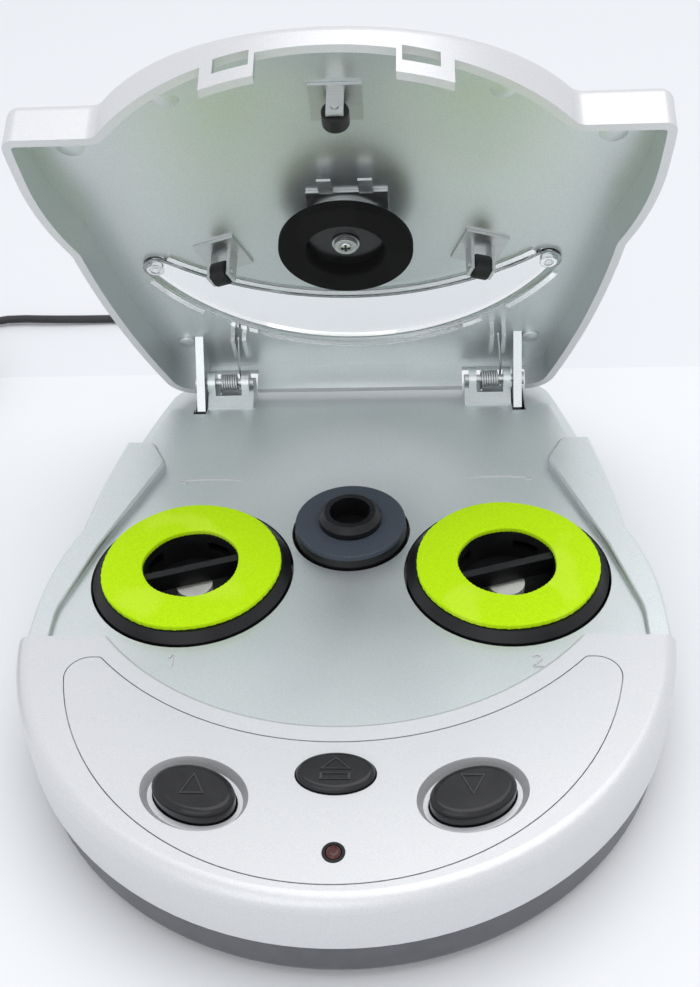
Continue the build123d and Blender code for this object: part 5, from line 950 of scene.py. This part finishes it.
# %% Screw of the clamp
TIP_R = 0.001
SMALL_TURNS = 48


def screw_profile(radius, height):
    """Dome of a screw head: an arc from its rim to its top."""
    angle = np.linspace(0, math.pi / 2, 9)
    return np.column_stack([radius * np.cos(angle) + TIP_R, height * np.sin(angle)])


def cross_slots(width, length):
    """Outline of a cross with four equal arms."""
    w, l = width / 2, length / 2
    quarter = [(w, l), (w, w), (l, w)]
    corners = []
    for k in range(4):
        c, s = round(math.cos(-k * math.pi / 2)), round(math.sin(-k * math.pi / 2))
        corners += [(x * c - y * s, x * s + y * c) for x, y in quarter]
    return np.array(corners)[::-1]


def lid_facing(centre):
    """Map of a small piece whose height points down from the lid towards the disc."""
    def place(points):
        points = np.asarray(points, float)
        flipped = np.stack([points[..., 0], -points[..., 1], -points[..., 2]], axis=-1)
        return in_lid(flipped + np.asarray(centre))
    return place


SCREW_Z = 27.1
SCREW_R, SCREW_RISE = 1.35, 0.8
CROSS_WIDTH, CROSS_LENGTH, CROSS_LIFT, CROSS_T = 0.5, 2.2, 0.62, 0.22
WASHER = [(1.75, -0.3), (2.75, -0.3), (2.7, 0.35), (1.8, 0.35)]
WASHER_EDGE_R = 0.15
screw_place = lid_facing((0, 0, SCREW_Z))
washer_section = rounded_profile(WASHER, WASHER_EDGE_R)
washer_points = turned_points(washer_section, (0, 0, 0), SMALL_TURNS, screw_place)
washer_mesh = grid_mesh("clamp_washer", washer_points, close_u=True, close_v=True)
washer = add_piece("clamp_washer", washer_mesh, "clamp_stem", bright_steel.material)
head_section = screw_profile(SCREW_R, SCREW_RISE)
head_points = turned_points(head_section, (0, 0, 0), SMALL_TURNS, screw_place)
head_mesh = grid_mesh("clamp_screw", head_points, close_v=True)
clamp_screw = add_piece("clamp_screw", head_mesh, "clamp_stem", bright_steel.material)
# Painted shade: a thin black cross laid on the dome stands in for the dark recess.
raised_mark(
    "clamp_screw_recess_shade", cross_slots(CROSS_WIDTH, CROSS_LENGTH),
    lid_facing((0, 0, SCREW_Z - CROSS_LIFT)), CROSS_T, "clamp_stem", black_plastic,
)
print("screw made")

# %% [markdown]
# ## Marks of moulding inside the lid
# The ceiling shows four pale discs where ejector pins pushed the lid out of its mould, and two
# round bosses by the hinge. The discs stand out by a hair, the bosses by a millimetre.

# %% Bosses and ejector marks
CROWN_Z, CROWN_Y, CROWN_R = 36.8, 5.0, 700.0
BROW_Y, BROW_R = -42.0, 75.0
LID_WALL = 2.0


def ceiling_height(y):
    """Height of the lid's ceiling when shut: a long arc, and a smaller one tangent to it in front."""
    share = BROW_R / CROWN_R
    crown_mid = CROWN_Z - CROWN_R
    brow_top = crown_mid + math.sqrt(CROWN_R ** 2 - (BROW_Y - CROWN_Y) ** 2)
    if y >= BROW_Y:
        return crown_mid + math.sqrt((CROWN_R - LID_WALL) ** 2 - (y - CROWN_Y) ** 2)
    brow_y = BROW_Y + (CROWN_Y - BROW_Y) * share
    brow_mid = brow_top - (brow_top - crown_mid) * share
    return brow_mid + math.sqrt((BROW_R - LID_WALL) ** 2 - (y - brow_y) ** 2)


BOSS_H, DISC_H = 1.0, 0.06
MARK_RIM = 0.3
ceiling_marks = [
    ("boss_left", -46.3, 48.7, 2.3, BOSS_H), ("boss_right", 46.3, 48.7, 2.3, BOSS_H),
    ("ejector_1", -34.5, -43.0, 2.7, DISC_H), ("ejector_2", 34.5, -43.0, 2.7, DISC_H),
    ("ejector_3", -58.5, -28.5, 3.1, DISC_H), ("ejector_4", 58.5, -28.5, 3.1, DISC_H),
]
for name, x, y, radius, height in ceiling_marks:
    rim = min(MARK_RIM, height)
    section = [
        (radius, -0.5), (radius, height - rim), (radius - 0.3 * rim, height - 0.3 * rim),
        (radius - rim, height), (TIP_R, height),
    ]
    spot = lid_facing((x, y, ceiling_height(y)))
    points = turned_points(section, (0, 0, 0), SMALL_TURNS, spot)
    mesh = grid_mesh(f"lid_{name}", points, close_v=True)
    mark = add_piece(f"lid_{name}", mesh, "lid", silver.material)
print("marks in the lid:", len(ceiling_marks))

# %% [markdown]
# ## Rim of the window
# The clear pane's flange lies on the ceiling round the opening, in four strips with gaps for the
# moulding, and a short clear pillar at each end takes a screw. A strip is a flat section swept along
# one of the crescent's two arcs.

# %% Strips and pillars of the window
OUTER_ARC_Y, INNER_ARC_Y = -8.7, -43.9
FLANGE_OUTER, FLANGE_INNER = (57.9, 59.9), (71.0, 72.9)
OUTER_SPANS, INNER_SPAN = ((31, 48), (56, 124), (132, 149)), (51.5, 128.5)
FLANGE_GAP, FLANGE_T, FLANGE_EDGE_R = 0.05, 0.9, 0.2
STRIP_STEPS = 60
PILLARS = {"left": (-48.4, 15.4), "right": (48.4, 15.4)}
PILLAR = [(1.0, 0.4), (2.3, 0.4), (2.2, 2.2), (1.1, 2.2)]
PILLAR_EDGE_R = 0.25
PILLAR_SCREW_R, PILLAR_SCREW_RISE, PILLAR_SCREW_LIFT = 0.85, 0.5, 0.9
PILLAR_SCREW_TURNS = 32


def flange_strip(name, middle_y, edges, span):
    """Flat clear strip along an arc of the window, between two radii and two angles in degrees."""
    angle = np.radians(np.linspace(*span, STRIP_STEPS))
    inner, outer = edges
    lower = [(inner, FLANGE_GAP), (outer, FLANGE_GAP)]
    section = rounded_profile([*lower, (outer, FLANGE_T), (inner, FLANGE_T)], FLANGE_EDGE_R)
    rows = []
    for radius, drop in section:
        x, y = radius * np.cos(angle), middle_y + radius * np.sin(angle)
        rows.append([(a, b, ceiling_height(b) - drop) for a, b in zip(x, y)])
    rows = in_lid(rows)
    ends = rows.mean(axis=0)[[0, -1]]
    first_cap, last_cap = (np.repeat(end[None, None], len(rows), 0) for end in ends)
    rows = np.concatenate([first_cap, rows, last_cap], axis=1)
    mesh = grid_mesh(name, rows[::-1], close_u=True, smooth=False)
    strip = add_piece(name, mesh, "lid", clear.material)


for k, span in enumerate(OUTER_SPANS):
    flange_strip(f"window_flange_{k + 1}", OUTER_ARC_Y, FLANGE_OUTER, span)
flange_strip("window_flange_4", INNER_ARC_Y, FLANGE_INNER, INNER_SPAN)
pillar_section = rounded_profile(PILLAR, PILLAR_EDGE_R)
head_section = screw_profile(PILLAR_SCREW_R, PILLAR_SCREW_RISE)
for hand, (x, y) in PILLARS.items():
    spot = lid_facing((x, y, ceiling_height(y)))
    points = turned_points(pillar_section, (0, 0, 0), SMALL_TURNS, spot)
    mesh = grid_mesh(f"window_pillar_{hand}", points, close_u=True, close_v=True)
    pillar = add_piece(f"window_pillar_{hand}", mesh, "lid", clear.material)
    points = turned_points(head_section, (0, 0, PILLAR_SCREW_LIFT), PILLAR_SCREW_TURNS, spot)
    mesh = grid_mesh(f"window_screw_{hand}", points, close_v=True)
    screw = add_piece(f"window_screw_{hand}", mesh, "lid", bright_steel.material)
print("window rim made")

# %% [markdown]
# ## Table, backdrop and light
# The picture has a white sheet on a white table and daylight from all round. The sheet ends just
# behind the machine, which shows as a faint line. One wide panel from the front and one overhead
# give soft shadows, and the world fills them. The world is a little brighter to the camera, and
# in reflections and through the window, than it is as a light.

# %% Table
SHEET_END_Y = 100.0
TABLE_REACH = 3.0
SHEET_WHITE, TABLE_WHITE = (0.93, 0.94, 0.96), (0.88, 0.89, 0.92)
sides = (-TABLE_REACH, TABLE_REACH)
table_points = np.array([[[x, y, 0] for y in sides] for x in sides])
table_finish = Finish("white_table", (0.86, 0.86, 0.88), 0.6)
table_split = table_finish.add("ShaderNodeSeparateXYZ")
table_finish.link(table_finish.place, table_split.inputs[0])
sheet_end = SPINDLE[1] + SHEET_END_Y * MM
behind_sheet = table_finish.math("GREATER_THAN", table_split.outputs["Y"], sheet_end)
table_finish.colour(table_finish.blend(behind_sheet, SHEET_WHITE, TABLE_WHITE))
table_finish.bump(table_finish.noise(400, 3), 0.15, 0.00004)
table_mesh = grid_mesh("table", table_points, smooth=False)
table = add_piece("table", table_mesh, material=table_finish.material)
print("table laid")


# %% Lights
FRONT_PLACE, FRONT_SIZE, FRONT_POWER = (-0.25, -0.9, 0.55), 0.8, 1.5
ABOVE_PLACE, ABOVE_SIZE, ABOVE_POWER = (0.2, 0.1, 1.3), 1.2, 6.2
AIM_Z = 0.03
SKY_COLOUR = (0.955, 0.97, 1.0)
SKY_AS_LIGHT, SKY_AS_SEEN = 0.72, 1.0


def panel_light(name, place, size, power):
    """Square soft light that faces the machine, a little above the table."""
    data = bpy.data.lights.new(name, "AREA")
    data.shape = "SQUARE"
    data.size = size
    data.energy = power
    lamp = bpy.data.objects.new(name, data)
    bpy.context.collection.objects.link(lamp)
    aim = Vector(SPINDLE) + Vector((0, 0, AIM_Z)) - Vector(place)
    lamp.rotation_mode = "QUATERNION"
    lamp.rotation_quaternion = aim.to_track_quat("-Z", "Y")
    lamp.location = place


panel_light("daylight_front", FRONT_PLACE, FRONT_SIZE, FRONT_POWER)
panel_light("daylight_above", ABOVE_PLACE, ABOVE_SIZE, ABOVE_POWER)
world = bpy.data.worlds.new("daylight")
bpy.context.scene.world = world
world.use_nodes = True
sky = world.node_tree
backdrop = sky.nodes["Background"]
backdrop.inputs["Color"].default_value = (*SKY_COLOUR, 1)
rays = sky.nodes.new("ShaderNodeLightPath")
seen = rays.outputs["Is Camera Ray"]
for way in ("Is Glossy Ray", "Is Transmission Ray"):
    either = sky.nodes.new("ShaderNodeMath")
    either.operation = "MAXIMUM"
    sky.links.new(seen, either.inputs[0])
    sky.links.new(rays.outputs[way], either.inputs[1])
    seen = either.outputs[0]
strength = sky.nodes.new("ShaderNodeMapRange")
strength.inputs["To Min"].default_value = SKY_AS_LIGHT
strength.inputs["To Max"].default_value = SKY_AS_SEEN
sky.links.new(seen, strength.inputs["Value"])
sky.links.new(strength.outputs["Result"], backdrop.inputs["Strength"])
bpy.context.scene.view_settings.view_transform = "Standard"
print("lights set")

# %% [markdown]
# ## End

# %% End
print("end of the notebook")
